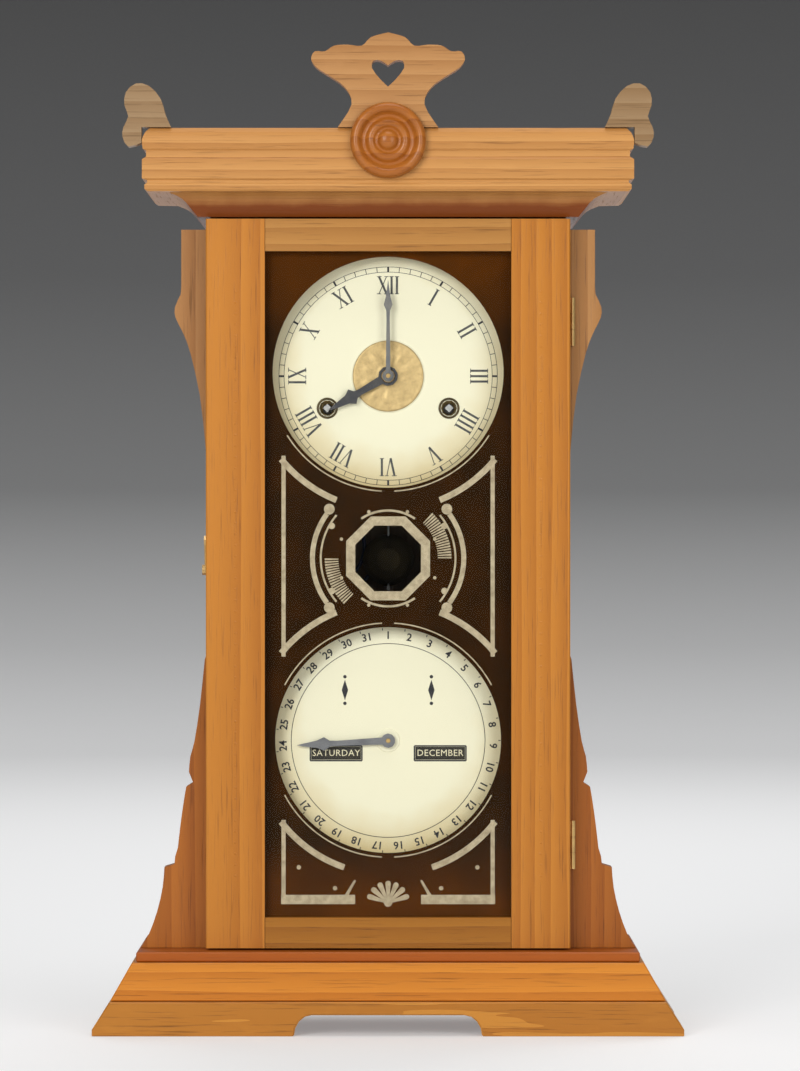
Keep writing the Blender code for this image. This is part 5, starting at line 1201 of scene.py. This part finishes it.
@dataclass
class Tablet:
    """The glass's painted back: black, with a silver stencil and three clear rounds."""

    paint_thickness: float = 0.0003
    leaf_thickness: float = 0.0002
    time_radius: float = 0.0718
    time_lift: float = 0.0020
    calendar_radius: float = 0.0702
    calendar_lift: float = 0.0008
    window_radius: float = 0.0215
    ring_width: float = 0.0048
    border_x: float = 0.0650
    border_width: float = 0.0026
    foot_width: float = 0.0058
    arc_radius: float = 0.0838
    foot_arc_radius: float = 0.0818
    arc_width: float = 0.0038
    bracket_radius: float = 0.0455
    bracket_width: float = 0.0031
    foot_line: float = 0.0822
    line_gap: float = 0.0022
    line_width: float = 0.0008
    pane_margin: float = 0.0003
    layer_gap: float = 0.0001
    overlap: float = 0.001
    arc_start: int = 22
    line_start: int = 3
    time_line_gap: float = 0.0018
    time_line_end: int = 58
    calendar_line_end: int = 62
    window_gap: float = 0.0006
    window_sides: int = 8
    window_corner_share: float = 1.05
    window_arc: Point = (0.0022, 0.0036)
    window_arc_reach: int = 34
    corner_dot: float = 0.0011
    corner_dot_out: float = 0.0045
    tick_count: int = 18
    tick_starts: tuple[int, int] = (45, 225)
    tick_step: float = 2.6
    tick_span: Point = (0.0040, 0.0125)
    tick_widths: Point = (0.0006, 0.0012)
    bracket_reach: int = 36
    bracket_line: Point = (0.0042, 0.0030)
    bracket_line_reach: int = 40
    bracket_dots: tuple[tuple[int, float, float, int], ...] = (
        (40, 0.0022, 0.0034, 12), (30, -0.0050, 0.0021, 10)
    )
    foot_overlap: float = 0.002
    foot_inner_x: float = 0.0205
    foot_overhang: float = 0.0015
    foot_arc_start: int = 19
    spur: tuple[Point, Point] = ((0.0265, 0.0015), (0.0205, 0.0120))
    spur_widths: Point = (0.0022, 0.0012)
    foot_dot: float = 0.0014
    foot_dots: tuple[Point, Point] = ((0.0330, 0.0070), (0.0555, 0.0200))
    fan_rays: int = 3
    fan_step: int = 24
    fan_span: Point = (0.0022, 0.0120)
    fan_widths: Point = (0.0014, 0.0034)
    fan_dot: float = 0.0017
    fan_hub: float = 0.0026

    def build(self) -> None:
        """Makes the silver stencil and the black behind it."""
        time, calendar = middle("time_dial"), middle("calendar_dial")
        self.time = (0.0, time.z + self.time_lift)
        self.calendar = (0.0, calendar.z + self.calendar_lift)
        self.window = (0.0, (time.z + calendar.z) / 2)
        low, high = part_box("door_glass")
        self.leaf_front = high.y + self.layer_gap
        self.build_silver()
        self.build_black(low, high)

    def build_black(self, low: Vector, high: Vector) -> None:
        """Paints the whole pane black but for the three rounds.

        Args:
            low: the low corner of the pane's box.
            high: its high corner.
        """
        left, foot = low.x + self.pane_margin, low.z + self.pane_margin
        right, head = high.x - self.pane_margin, high.z - self.pane_margin
        loops = [[(left, foot), (right, foot), (right, head), (left, head)]]
        centres = (self.time, self.calendar, self.window)
        for centre, radius in zip(centres, (self.time_radius, self.calendar_radius, self.window_radius)):
            loops.append([on_circle(radius, 360 - step * 4, centre) for step in range(90)])
        front = self.leaf_front + self.leaf_thickness + self.layer_gap
        mesh = pierced_sheet("tablet_black", loops, front, self.paint_thickness)
        placed("tablet_black", mesh, BLACK_PAINT, "door")

    def build_silver(self) -> None:
        """Draws the silver stencil: arcs round the dials, borders, brackets and the window's ring."""
        work = FlatWork(self.leaf_front, self.leaf_thickness)
        self.draw_window(work)
        for side in (-1, 1):
            self.draw_side(work, side)
            self.draw_foot(work, side)
        self.draw_fan(work)
        placed("tablet_silver", work.mesh("tablet_silver"), SILVER, "door")

    def draw_window(self, work: FlatWork) -> None:
        """Draws the ring of eight straight sides round the clear window, and its lines.

        Args:
            work: where it is drawn.
        """
        inner = self.window_radius + self.window_gap
        outer = inner + self.ring_width
        point = outer * self.window_corner_share
        turn = 360 / self.window_sides
        corners = [turn / 2 + turn * step for step in range(self.window_sides)]
        for first, second in zip(corners, corners[1:] + corners[:1]):
            pairs = ((inner, first), (point, first), (point, second), (inner, second))
            work.outline([on_circle(radius, angle, self.window) for radius, angle in pairs])
        near, far = (outer + out for out in self.window_arc)
        reach = self.window_arc_reach
        for angle in (0, 180):
            work.band(self.window, near, far, angle - reach, angle + reach)
        for angle in corners:
            work.disc(on_circle(outer + self.corner_dot_out, angle, self.window), self.corner_dot, 8)
        for first in self.tick_starts:
            for step in range(self.tick_count):
                angle = first + step * self.tick_step
                start, end = (on_circle(outer + out, angle, self.window) for out in self.tick_span)
                work.bar(start, end, *self.tick_widths)

    def arc_reach(self, radius: float) -> float:
        """The dial angle at which a circle round a dial meets the border line."""
        return math.degrees(math.asin(min(self.border_x / radius, 1.0)))

    def draw_side(self, work: FlatWork, side: int) -> None:
        """Draws one side's border, its arcs round both dials and its bowed bracket.

        Args:
            work: where it is drawn.
            side: -1 for the left, 1 for the right.
        """
        inner = self.arc_radius
        outer = inner + self.arc_width
        reach = self.arc_reach(inner)
        top = on_circle(inner, 180 - reach, self.time)[1]
        foot = on_circle(inner, reach, self.calendar)[1]
        x = side * self.border_x
        work.bar((x, foot - self.overlap), (x, top + self.overlap), self.border_width)
        work.band(self.time, inner, outer, 180 - side * self.arc_start, 180 - side * reach)
        work.band(self.calendar, inner, outer, side * self.arc_start, side * reach)
        start, end = side * self.line_start, side * self.time_line_end
        inside = self.time_radius + self.time_line_gap
        work.band(self.time, inside, inside + self.line_width, 180 - start, 180 - end)
        end = side * self.calendar_line_end
        inside = self.calendar_radius + self.line_gap
        work.band(self.calendar, inside, inside + self.line_width, start, end)
        bow = self.bracket_radius
        start, end = (side * (90 + way * self.bracket_reach) for way in (-1, 1))
        work.band(self.window, bow, bow + self.bracket_width, start, end)
        start, end = (side * (90 + way * self.bracket_line_reach) for way in (-1, 1))
        near, far = (bow - sink for sink in self.bracket_line)
        work.band(self.window, near, far, start, end)
        for turn, out, radius, steps in self.bracket_dots:
            for way in (-1, 1):
                work.disc(on_circle(bow + out, side * (90 + way * turn), self.window), radius, steps)

    def draw_foot(self, work: FlatWork, side: int) -> None:
        """Draws the lower corner's border and the arc under the calendar dial.

        Args:
            work: where it is drawn.
            side: -1 for the left, 1 for the right.
        """
        inner = self.foot_arc_radius
        reach = self.arc_reach(inner)
        corner = on_circle(inner, 180 - reach, self.calendar)[1]
        x, z = self.border_x, self.foot_line
        work.bar((side * x, z - self.foot_overlap), (side * x, corner), self.border_width)
        work.bar((side * self.foot_inner_x, z), (side * (x + self.foot_overhang), z), self.foot_width)
        start, end = side * self.foot_arc_start, side * reach
        work.band(self.calendar, inner, inner + self.arc_width, 180 - start, 180 - end)
        start, end = side * self.line_start, side * self.calendar_line_end
        inside = self.calendar_radius + self.line_gap
        work.band(self.calendar, inside, inside + self.line_width, 180 - start, 180 - end)
        start, end = ((side * across, z + up) for across, up in self.spur)
        work.bar(start, end, *self.spur_widths)
        for across, up in self.foot_dots:
            work.disc((side * across, z + up), self.foot_dot, 10)

    def draw_fan(self, work: FlatWork) -> None:
        """Draws the fan of plain rays in the middle of the foot.

        Args:
            work: where it is drawn.
        """
        centre = (0.0, self.foot_line - self.foot_overlap)
        for step in range(-self.fan_rays, self.fan_rays + 1):
            start, end = (on_circle(radius, step * self.fan_step, centre) for radius in self.fan_span)
            work.bar(start, end, *self.fan_widths)
            work.disc(end, self.fan_dot, 10)
        work.disc(centre, self.fan_hub, 16)

    def dress(self) -> None:
        """Gives the pane its clear glass."""
        dress(GLASS, "door_glass")


class Stroke(Enum):
    """The strokes of a Roman figure, as its width as a share of its height."""

    I = 0.30
    V = 0.70
    X = 0.68


@dataclass
class TimeDial:
    """The upper dial's printing, brass centre and winding-hole rings."""

    numeral_height: float = 0.0112
    numeral_foot: float = 0.0512
    track_inner: float = 0.0650
    track_outer: float = 0.0682
    ink_thickness: float = 0.00008
    ink_lift: float = 0.00005
    brass_radius: float = 0.0222
    brass_bore: float = 0.0052
    brass_rings: int = 18
    brass_steps: int = 120
    brass_lift: float = 0.00056
    brass_foot: float = 0.00053
    brass_swells: tuple[tuple[float, float, float, int], ...] = (
        (0.00030, 0.93, 0.04, 0), (0.00022, 0.80, 0.05, 30),
        (0.00034, 0.45, 0.22, 10), (0.00025, 0.04, 0.06, 0),
    )
    circle_half_width: float = 0.00015
    tick_kinds: tuple[tuple[str, int, float, float], ...] = (
        ("minute_ticks", 60, 0.0004, 0.0), ("hour_ticks", 12, 0.0012, 0.00001)
    )
    ring_lift: float = 0.0006
    ring_lip: float = 0.0004
    ring_steps: int = 40
    ring_radius: float = 0.0066
    hole_radius: float = 0.0052
    holes: tuple[Point, ...] = ((-0.038, -0.020), (0.038, -0.020))
    figures: tuple[str, ...] = ("XII", "I", "II", "III", "IIII", "V", "VI", "VII", "VIII", "IX", "X", "XI")

    def build(self) -> None:
        """Makes the printing and the brass work."""
        centre = middle("time_dial")
        self.centre = (0.0, centre.z)
        self.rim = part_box("time_dial")[1].x
        self.face = open_face("time_dial", -1)
        self.build_numerals()
        self.build_track()
        self.build_brass()
        self.build_rings()

    def build_numerals(self) -> None:
        """Prints the hours, their feet towards the centre."""
        work = FlatWork(self.face - self.ink_lift - self.ink_thickness, self.ink_thickness)
        for hour, figure in enumerate(self.figures):
            self.draw_figure(work, figure, hour * 360 / len(self.figures))
        placed("hour_figures", work.mesh("hour_figures"), FADED_INK, "case")

    def draw_figure(self, work: FlatWork, figure: str, degrees: float) -> None:
        """Draws one hour's figure in place.

        Args:
            work: where it is drawn.
            figure: the Roman figure.
            degrees: its dial angle.
        """
        height = self.numeral_height
        width = sum(Stroke[letter].value for letter in figure) * height
        x = -width / 2
        angle = math.radians(degrees)

        def spot(across: float, up: float) -> Point:
            """A point of the figure on the dial.

            Args:
                across: how far right of its middle.
                up: how far up it, as a share.

            Returns:
                The point as (x, z).
            """
            radius = self.numeral_foot + up * height
            return (self.centre[0] + across * math.cos(angle) + radius * math.sin(angle),
                    self.centre[1] - across * math.sin(angle) + radius * math.cos(angle))

        for letter in figure:
            span = Stroke[letter].value * height
            for (x0, up0), (x1, up1), weight in self.strokes(Stroke[letter]):
                start, end = spot(x + x0 * span, up0), spot(x + x1 * span, up1)
                work.bar(start, end, weight * height)
            x += span

    @staticmethod
    def strokes(letter: Stroke) -> list[tuple[Point, Point, float]]:
        """A letter's strokes as start, end and weight, in shares of its width and height.

        Args:
            letter: the letter.

        Returns:
            Its strokes.
        """
        thick, thin, serif = 0.12, 0.045, 0.038
        if letter is Stroke.I:
            return [((0.5, 0), (0.5, 1), thick), ((0.1, 0.02), (0.9, 0.02), serif),
                    ((0.1, 0.98), (0.9, 0.98), serif)]
        if letter is Stroke.V:
            return [((0.20, 1), (0.52, 0), thick), ((0.82, 1), (0.54, 0), thin),
                    ((0.02, 0.98), (0.42, 0.98), serif), ((0.68, 0.98), (0.98, 0.98), serif)]
        return [((0.18, 1), (0.82, 0), thick), ((0.82, 1), (0.18, 0), thin),
                ((0.02, 0.98), (0.40, 0.98), serif), ((0.64, 0.98), (0.98, 0.98), serif),
                ((0.02, 0.02), (0.36, 0.02), serif), ((0.60, 0.02), (0.98, 0.02), serif)]

    def build_track(self) -> None:
        """Prints the minute track: two circles, sixty ticks and a heavier mark at each hour."""
        front = self.face - self.ink_lift - self.ink_thickness
        middle_radius = (self.track_inner + self.track_outer) / 2
        length = self.track_outer - self.track_inner
        work = FlatWork(front, self.ink_thickness)
        for radius in (self.track_inner, self.track_outer):
            work.band(self.centre, radius - self.circle_half_width, radius + self.circle_half_width)
        placed("minute_circles", work.mesh("minute_circles"), INK, "case")
        tick_front = front + self.ink_thickness / 2
        for name, count, width, lift in self.tick_kinds:
            ticks = tick_ring(name, count, middle_radius, length, width, self.centre, tick_front - lift, INK)
            placed(name, ticks, INK, "case")

    def build_brass(self) -> None:
        """Makes the pressed brass centre, its rings closed by a flat back."""
        shape = bmesh.new()
        rows = [self.brass_row(shape, ring / self.brass_rings) for ring in range(self.brass_rings + 1)]
        rows.append(self.brass_row(shape, 1.0, True))
        rows.insert(0, self.brass_row(shape, 0.0, True))
        for row, after in zip(rows, rows[1:] + rows[:1]):
            for step in range(self.brass_steps):
                follow = (step + 1) % self.brass_steps
                shape.faces.new((row[step], row[follow], after[follow], after[step]))
        placed("brass_centre", closed_mesh("brass_centre", shape, True), EMBOSSED_BRASS, "case")

    def brass_row(self, shape: bmesh.types.BMesh, share: float,
                  flat: bool = False) -> list[bmesh.types.BMVert]:
        """Adds one ring of points to the pressed centre.

        Args:
            shape: the shape that takes them.
            share: how far out the ring is, from the bore to the rim.
            flat: whether it lies on the back.

        Returns:
            The points.
        """
        radius = self.brass_bore + (self.brass_radius - self.brass_bore) * share
        row = []
        for step in range(self.brass_steps):
            angle = 360 * step / self.brass_steps
            rise = self.brass_foot if flat else self.brass_lift + self.relief(share, math.radians(angle))
            x, z = on_circle(radius, angle, self.centre)
            row.append(shape.verts.new((x, self.face - rise, z)))
        return row

    def build_rings(self) -> None:
        """Turns a ring round each winding hole."""
        front = self.face - self.ring_lift
        lip, inner, outer = self.ring_lip, self.hole_radius, self.ring_radius
        profile = [(inner, front + lip), (inner, front + lip / 4), (inner + lip, front), (outer - lip, front),
                   (outer, front + lip / 2), (outer, front + lip), (inner, front + lip)]
        for number, (x, z) in enumerate(self.holes):
            name = f"winding_ring_{number}"
            ring = turned(name, profile, (self.centre[0] + x, self.centre[1] + z), self.ring_steps)
            placed(name, ring, DARK_BRASS_AND_SHADE, "case")

    def relief(self, share: float, angle: float) -> float:
        """How far the pressed centre stands proud: its rim, row of beads, ring of petals and hub.

        Args:
            share: how far out the point is.
            angle: its angle in radians.

        Returns:
            The rise.
        """
        rise = 0.0
        for height, place, spread, waves in self.brass_swells:
            swell = height * math.exp(-((share - place) / spread) ** 2)
            rise += swell * (0.5 + 0.5 * math.cos(angle * waves))
        return rise

    def dress(self) -> None:
        """Gives the dial and hands their finishes."""
        dress(DialPaper("time_paper", self.centre, self.rim), "time_dial")
        dress(HOUR_STEEL, "hour_hand")
        dress(MINUTE_STEEL, "minute_hand")


@dataclass
class CalendarDial:
    """The lower dial's printing and the two rollers behind its windows."""

    figure_height: float = 0.0046
    figure_radius: float = 0.0655
    circle_radius: float = 0.0605
    figure_weight: float = 0.00012
    circle_half_width: float = 0.0002
    tick_out: float = 0.0040
    tick_length: float = 0.0014
    tick_width: float = 0.0005
    frame_gap: float = 0.0006
    frame_width: float = 0.0009
    ink_thickness: float = 0.00008
    ink_lift: float = 0.00005
    window_x: float = 0.0325
    window_z: float = -0.0080
    window_width: float = 0.031
    window_height: float = 0.008
    mark_x: float = 0.0270
    mark_z: float = 0.0315
    mark_size: tuple[float, float] = (0.0020, 0.0064)
    mark_dot_share: float = 0.55
    mark_dot_rise: float = 1.3
    roller_radius: float = 0.0150
    name_height: float = 0.0039
    name_thickness: float = 0.00010
    name_lift: float = 0.00012
    name_spacing: float = 1.07
    name_cuts: tuple[float, ...] = (-0.0015, -0.0005, 0.0005, 0.0015)
    dates: int = 31
    days: tuple[str, ...] = ("SATURDAY", "SUNDAY", "MONDAY", "TUESDAY", "WEDNESDAY", "THURSDAY", "FRIDAY")
    months: tuple[str, ...] = ("DECEMBER", "JANUARY", "FEBRUARY", "MARCH", "APRIL", "MAY", "JUNE",
                               "JULY", "AUGUST", "SEPTEMBER", "OCTOBER", "NOVEMBER")

    def build(self) -> None:
        """Makes the printing and the names on the rollers."""
        self.centre = (0.0, middle("calendar_dial").z)
        self.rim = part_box("calendar_dial")[1].x
        self.face = open_face("calendar_dial", -1)
        self.build_dates()
        self.build_lines()
        self.build_names("day", "day_roller", self.days)
        self.build_names("month", "month_roller", self.months)

    def build_dates(self) -> None:
        """Prints the dates from 1 to 31 round the edge, their feet towards the centre."""
        shape = bmesh.new()
        front = self.face - self.ink_lift - self.ink_thickness / 2
        for date in range(1, self.dates + 1):
            angle = (date - 1) * 360 / self.dates
            x, z = on_circle(self.figure_radius, angle, self.centre)
            mesh = lettering(str(date), self.figure_height, self.figure_weight, self.ink_thickness)
            mesh.transform(Matrix.Translation((x, front, z)) @ Matrix.Rotation(math.radians(angle), 4, "Y"))
            shape.from_mesh(mesh)
        placed("date_figures", closed_mesh("date_figures", shape), INK, "case")

    def build_lines(self) -> None:
        """Prints the circle inside the dates, the windows' frames and the two upright marks."""
        front = self.face - self.ink_lift - self.ink_thickness
        work = FlatWork(front, self.ink_thickness)
        near, far = (self.circle_radius + way * self.circle_half_width for way in (-1, 1))
        work.band(self.centre, near, far)
        for side in (-1, 1):
            x, z = self.centre[0] + side * self.window_x, self.centre[1] + self.window_z
            half, rise = (size / 2 + self.frame_gap for size in (self.window_width, self.window_height))
            corners = [(x - half, z - rise), (x + half, z - rise), (x + half, z + rise), (x - half, z + rise)]
            for start, end in zip(corners, corners[1:] + corners[:1]):
                work.bar(start, end, self.frame_width)
            self.draw_mark(work, (self.centre[0] + side * self.mark_x, self.centre[1] + self.mark_z))
        placed("calendar_lines", work.mesh("calendar_lines"), INK, "case")
        radius = self.figure_radius + self.tick_out
        ticks = tick_ring("date_ticks", self.dates, radius, self.tick_length, self.tick_width, self.centre,
                          front + self.ink_thickness / 2, INK)
        placed("date_ticks", ticks, INK, "case")

    def draw_mark(self, work: FlatWork, centre: Point) -> None:
        """Draws one plain upright mark: a long lozenge between two dots.

        Args:
            work: where it is drawn.
            centre: its middle.
        """
        (x, z), (half, rise) = centre, self.mark_size
        work.outline([(x - half, z), (x, z - rise), (x + half, z), (x, z + rise)])
        for way in (-1, 1):
            work.disc((x, z + way * rise * self.mark_dot_rise), half * self.mark_dot_share, 12)

    def build_names(self, body: str, roller: str, names: Sequence[str]) -> None:
        """Wraps the names round a roller, the shown one facing the front.

        Args:
            body: the roller's body.
            roller: its CAD node.
            names: the names in their order, the shown one first.
        """
        centre = middle(roller)
        shape = bmesh.new()
        lift = self.roller_radius + self.name_lift
        for number, name in enumerate(names):
            mesh = lettering(name, self.name_height, 0.0, self.name_thickness, self.name_spacing)
            cut = bmesh.new()
            cut.from_mesh(mesh)
            for level in self.name_cuts:
                parts = list(cut.verts) + list(cut.edges) + list(cut.faces)
                bmesh.ops.bisect_plane(cut, geom=parts, plane_co=(0, 0, level), plane_no=(0, 0, 1))
            for vert in cut.verts:
                angle = vert.co.z / self.roller_radius + number * FULL_TURN / len(names)
                radius = lift - vert.co.y
                y, z = centre.y - radius * math.cos(angle), centre.z + radius * math.sin(angle)
                vert.co = (centre.x + vert.co.x, y, z)
            cut.to_mesh(mesh)
            cut.free()
            shape.from_mesh(mesh)
        placed(f"{body}_names", closed_mesh(f"{body}_names", shape), NAME_PAINT, body)

    def dress(self) -> None:
        """Gives the dial, the date hand and the rollers their finishes."""
        dress(DialPaper("calendar_paper", self.centre, self.rim), "calendar_dial")
        dress(GREY_STEEL, "date_hand")
        dress(ROLLER_BLACK, "day_roller", "month_roller")


@dataclass
class Movement:
    """The time and strike movement, the gong and the calendar work."""

    gong_wire: float = 0.0013
    gong_turns: float = 3.0
    gong_radius: float = 0.033
    block_radius: float = 0.009
    plate_screw_radius: float = 0.0024
    plate_screw_inset: float = 0.009

    def build(self) -> None:
        """Makes the gong and the screws of the movement's front plate."""
        self.build_gong()
        self.build_screws()

    def build_gong(self) -> None:
        """Winds the gong's wire in a flat coil and turns the iron block that holds its inner end."""
        low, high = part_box("gong")
        centre = self.block_centre(high.y)
        wire_y = low.y + self.gong_wire * 2
        coil = self.coil((centre[0], wire_y, centre[1]))
        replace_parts(placed("gong_coil", coil, BLUED_STEEL, "case"), "gong")
        shares = (
            (0.0, 0.0), (0.24, 0.0), (0.30, 0.02), (0.30, 0.07), (0.78, 0.07), (0.90, 0.09),
            (0.95, 0.13), (0.95, 0.26), (0.88, 0.32), (0.66, 0.42), (0.62, 0.60), (0.70, 0.76),
            (0.93, 0.82), (1.0, 0.86), (1.0, 1.0), (0.0, 1.0),
        )
        depth = high.y - low.y
        profile = [(radius * self.block_radius, low.y + back * depth) for radius, back in shares]
        block = turned("gong_block", profile, centre, 48)
        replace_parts(placed("gong_block", block, IRON, "case"), "gong")

    @staticmethod
    def block_centre(back: float) -> Point:
        """The middle of the gong block's back face, which lies at the given y.

        Args:
            back: the face's y.

        Returns:
            The middle as (x, z).
        """
        foot = [vertex.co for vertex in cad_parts["gong"].data.vertices if vertex.co.y > back - MM]
        across, up = [point.x for point in foot], [point.z for point in foot]
        return ((min(across) + max(across)) / 2, (min(up) + max(up)) / 2)

    def coil(self, centre: Sequence[float]) -> Mesh:
        """Draws a wire along a flat spiral, by Geometry Nodes.

        Args:
            centre: the spiral's centre.

        Returns:
            The wire's mesh, in place.
        """
        pattern = Pattern("gong_coil", Turns=self.gong_turns, Start=self.block_radius - self.gong_wire,
                          End=self.gong_radius, Wire=self.gong_wire)
        spiral = pattern.node(
            "GeometryNodeCurveSpiral", {},
            {"Resolution": 48, "Rotations": pattern.size("Turns"), "Start Radius": pattern.size("Start"),
             "End Radius": pattern.size("End"), "Height": 0.0, "Reverse": True},
        )
        section = {"Resolution": 12, "Radius": pattern.size("Wire")}
        ring = pattern.node("GeometryNodeCurvePrimitiveCircle", {}, section)
        sockets = {"Curve": spiral, "Profile Curve": ring, "Fill Caps": True}
        wire = pattern.node("GeometryNodeCurveToMesh", {}, sockets)
        soft = pattern.node("GeometryNodeSetShadeSmooth", {}, {0: wire})
        put = pattern.moved(soft, Rotation=FACING_FRONT, Translation=tuple(centre))
        return pattern.mesh(put, BLUED_STEEL)

    def build_screws(self) -> None:
        """Screws the front plate to its pillars at the corners."""
        low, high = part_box("movement_front_plate")
        inset = self.plate_screw_inset
        levels = (low.z + inset, high.z - inset)
        places = [(x, low.y, z) for x in (low.x + inset, high.x - inset) for z in levels]
        mesh = screw_heads("plate_screws", places, self.plate_screw_radius, FACING_FRONT, STEEL)
        placed("plate_screws", mesh, STEEL, "case")

    def dress(self) -> None:
        """Gives the working parts their metals."""
        dress(PLATE_BRASS, "movement_front_plate", "movement_back_plate")
        wheels = ("third", "escape", "minute", "hour", "time_great", "strike_great", "date")
        dress(BRASS, "centre_arbor", *(f"{wheel}_wheel" for wheel in wheels))
        # the bob's dark brass is painted shade for the unlit inside of the case
        dress(DARK_BRASS_AND_SHADE, "pendulum_bob")
        dress(STEEL, "time_winding_arbor", "strike_winding_arbor")
        dress(STEEL, "verge", "hammer", "lift_wire", "pendulum_rod")
        dress(BLUED_STEEL, "time_mainspring", "strike_mainspring")
        dress(IRON, "calendar_frame")


@dataclass
class Studio:
    """The paper sweep, the soft lamps and the camera."""

    camera_distance: float = 3.0
    camera_x: float = 0.0074
    camera_z: float = 0.3085
    view_height: float = 0.664
    subject_y: float = -0.05
    floor_radius: float = 3.7
    bend: float = 0.9
    wall_height: float = 1.8
    sweep_steps: int = 96
    bend_steps: int = 16
    sensor: float = 24.0
    aim_height: float = 0.32
    floor_shares: tuple[float, ...] = (0.2, 0.5, 0.8, 1.0)
    lamps: tuple[tuple[str, tuple[float, float, float], float, float], ...] = (
        ("key_lamp", (-1.2, -2.5, 1.15), 1.2, 45.0),
        ("fill_lamp", (1.4, -2.4, 0.8), 1.4, 25.0),
        ("top_lamp", (0.1, -0.4, 2.1), 1.2, 12.0),
        ("back_lamp", (0.3, 1.9, 2.7), 2.0, 38.0),
    )
    room_colour: Colour = (0.95, 0.97, 1.0)
    room_strength: float = 0.22

    def build(self) -> None:
        """Sets the stage."""
        self.build_sweep()
        self.build_lamps()
        self.build_camera()

    def build_sweep(self) -> None:
        """Turns one sheet round the clock, out over the floor and up a round wall."""
        profile = [(self.floor_radius * share, 0.0) for share in self.floor_shares]
        for step in range(1, self.bend_steps + 1):
            angle = math.pi / 2 * step / self.bend_steps
            out, up = self.bend * math.sin(angle), self.bend * (1 - math.cos(angle))
            profile.append((self.floor_radius + out, up))
        profile.append((self.floor_radius + self.bend, self.wall_height))
        count = self.sweep_steps
        vertices = [(0.0, 0.0, 0.0)]
        for radius, z in profile:
            for step in range(count):
                x, y = on_circle(radius, -360 * step / count)
                vertices.append((x, y, z))
        faces = [(0, 1 + step, 1 + (step + 1) % count) for step in range(count)]
        for ring in range(len(profile) - 1):
            for step in range(count):
                near, follow = 1 + ring * count, (step + 1) % count
                faces.append((near + step, near + count + step, near + count + follow, near + follow))
        mesh = bpy.data.meshes.new("paper_sweep")
        mesh.from_pydata(vertices, [], faces)
        mesh.shade_smooth()
        mesh.materials.append(Sweep("paper_sweep").material())
        sweep = bpy.data.objects.new("paper_sweep", mesh)
        bpy.context.scene.collection.objects.link(sweep)

    def build_lamps(self) -> None:
        """Hangs the soft lamps and sets the room's light."""
        for name, place, size, power in self.lamps:
            self.lamp(name, place, size, power)
        world = bpy.data.worlds.new("room")
        world.use_nodes = True
        light = world.node_tree.nodes["Background"]
        light.inputs["Color"].default_value = (*self.room_colour, 1.0)
        light.inputs["Strength"].default_value = self.room_strength
        bpy.context.scene.world = world

    def lamp(self, name: str, place: Sequence[float], size: float, power: float) -> None:
        """Hangs one soft lamp that faces the clock.

        Args:
            name: its name.
            place: where it hangs.
            size: its side.
            power: its watts.
        """
        data = bpy.data.lights.new(name, "AREA")
        data.size = size
        data.energy = power
        lamp = bpy.data.objects.new(name, data)
        aim = Vector((0, 0, self.aim_height)) - Vector(place)
        lamp.location = place
        lamp.rotation_euler = aim.to_track_quat("-Z", "Y").to_euler()
        lamp.visible_camera = False
        bpy.context.scene.collection.objects.link(lamp)

    def build_camera(self) -> None:
        """Sets the camera level with the middle of the picture."""
        data = bpy.data.cameras.new("camera")
        data.sensor_fit = "VERTICAL"
        data.sensor_height = self.sensor
        data.lens = self.sensor * (self.camera_distance + self.subject_y) / self.view_height
        camera = bpy.data.objects.new("camera", data)
        camera.location = (self.camera_x, -self.camera_distance, self.camera_z)
        camera.rotation_euler = (math.pi / 2, 0, 0)
        bpy.context.scene.collection.objects.link(camera)
        bpy.context.scene.camera = camera
        bpy.context.scene.view_settings.view_transform = "Standard"


def main() -> None:
    """Builds the clock's dressings in order."""
    logging.basicConfig(level=logging.INFO, format="%(name)s: %(message)s")
    for part in (Case(), Door(), Tablet(), TimeDial(), CalendarDial(), Movement()):
        part.build()
        part.dress()
        LOG.info("%s done", type(part).__name__)
    Studio().build()
    LOG.info("Studio done")


if __name__ == "__main__":
    main()
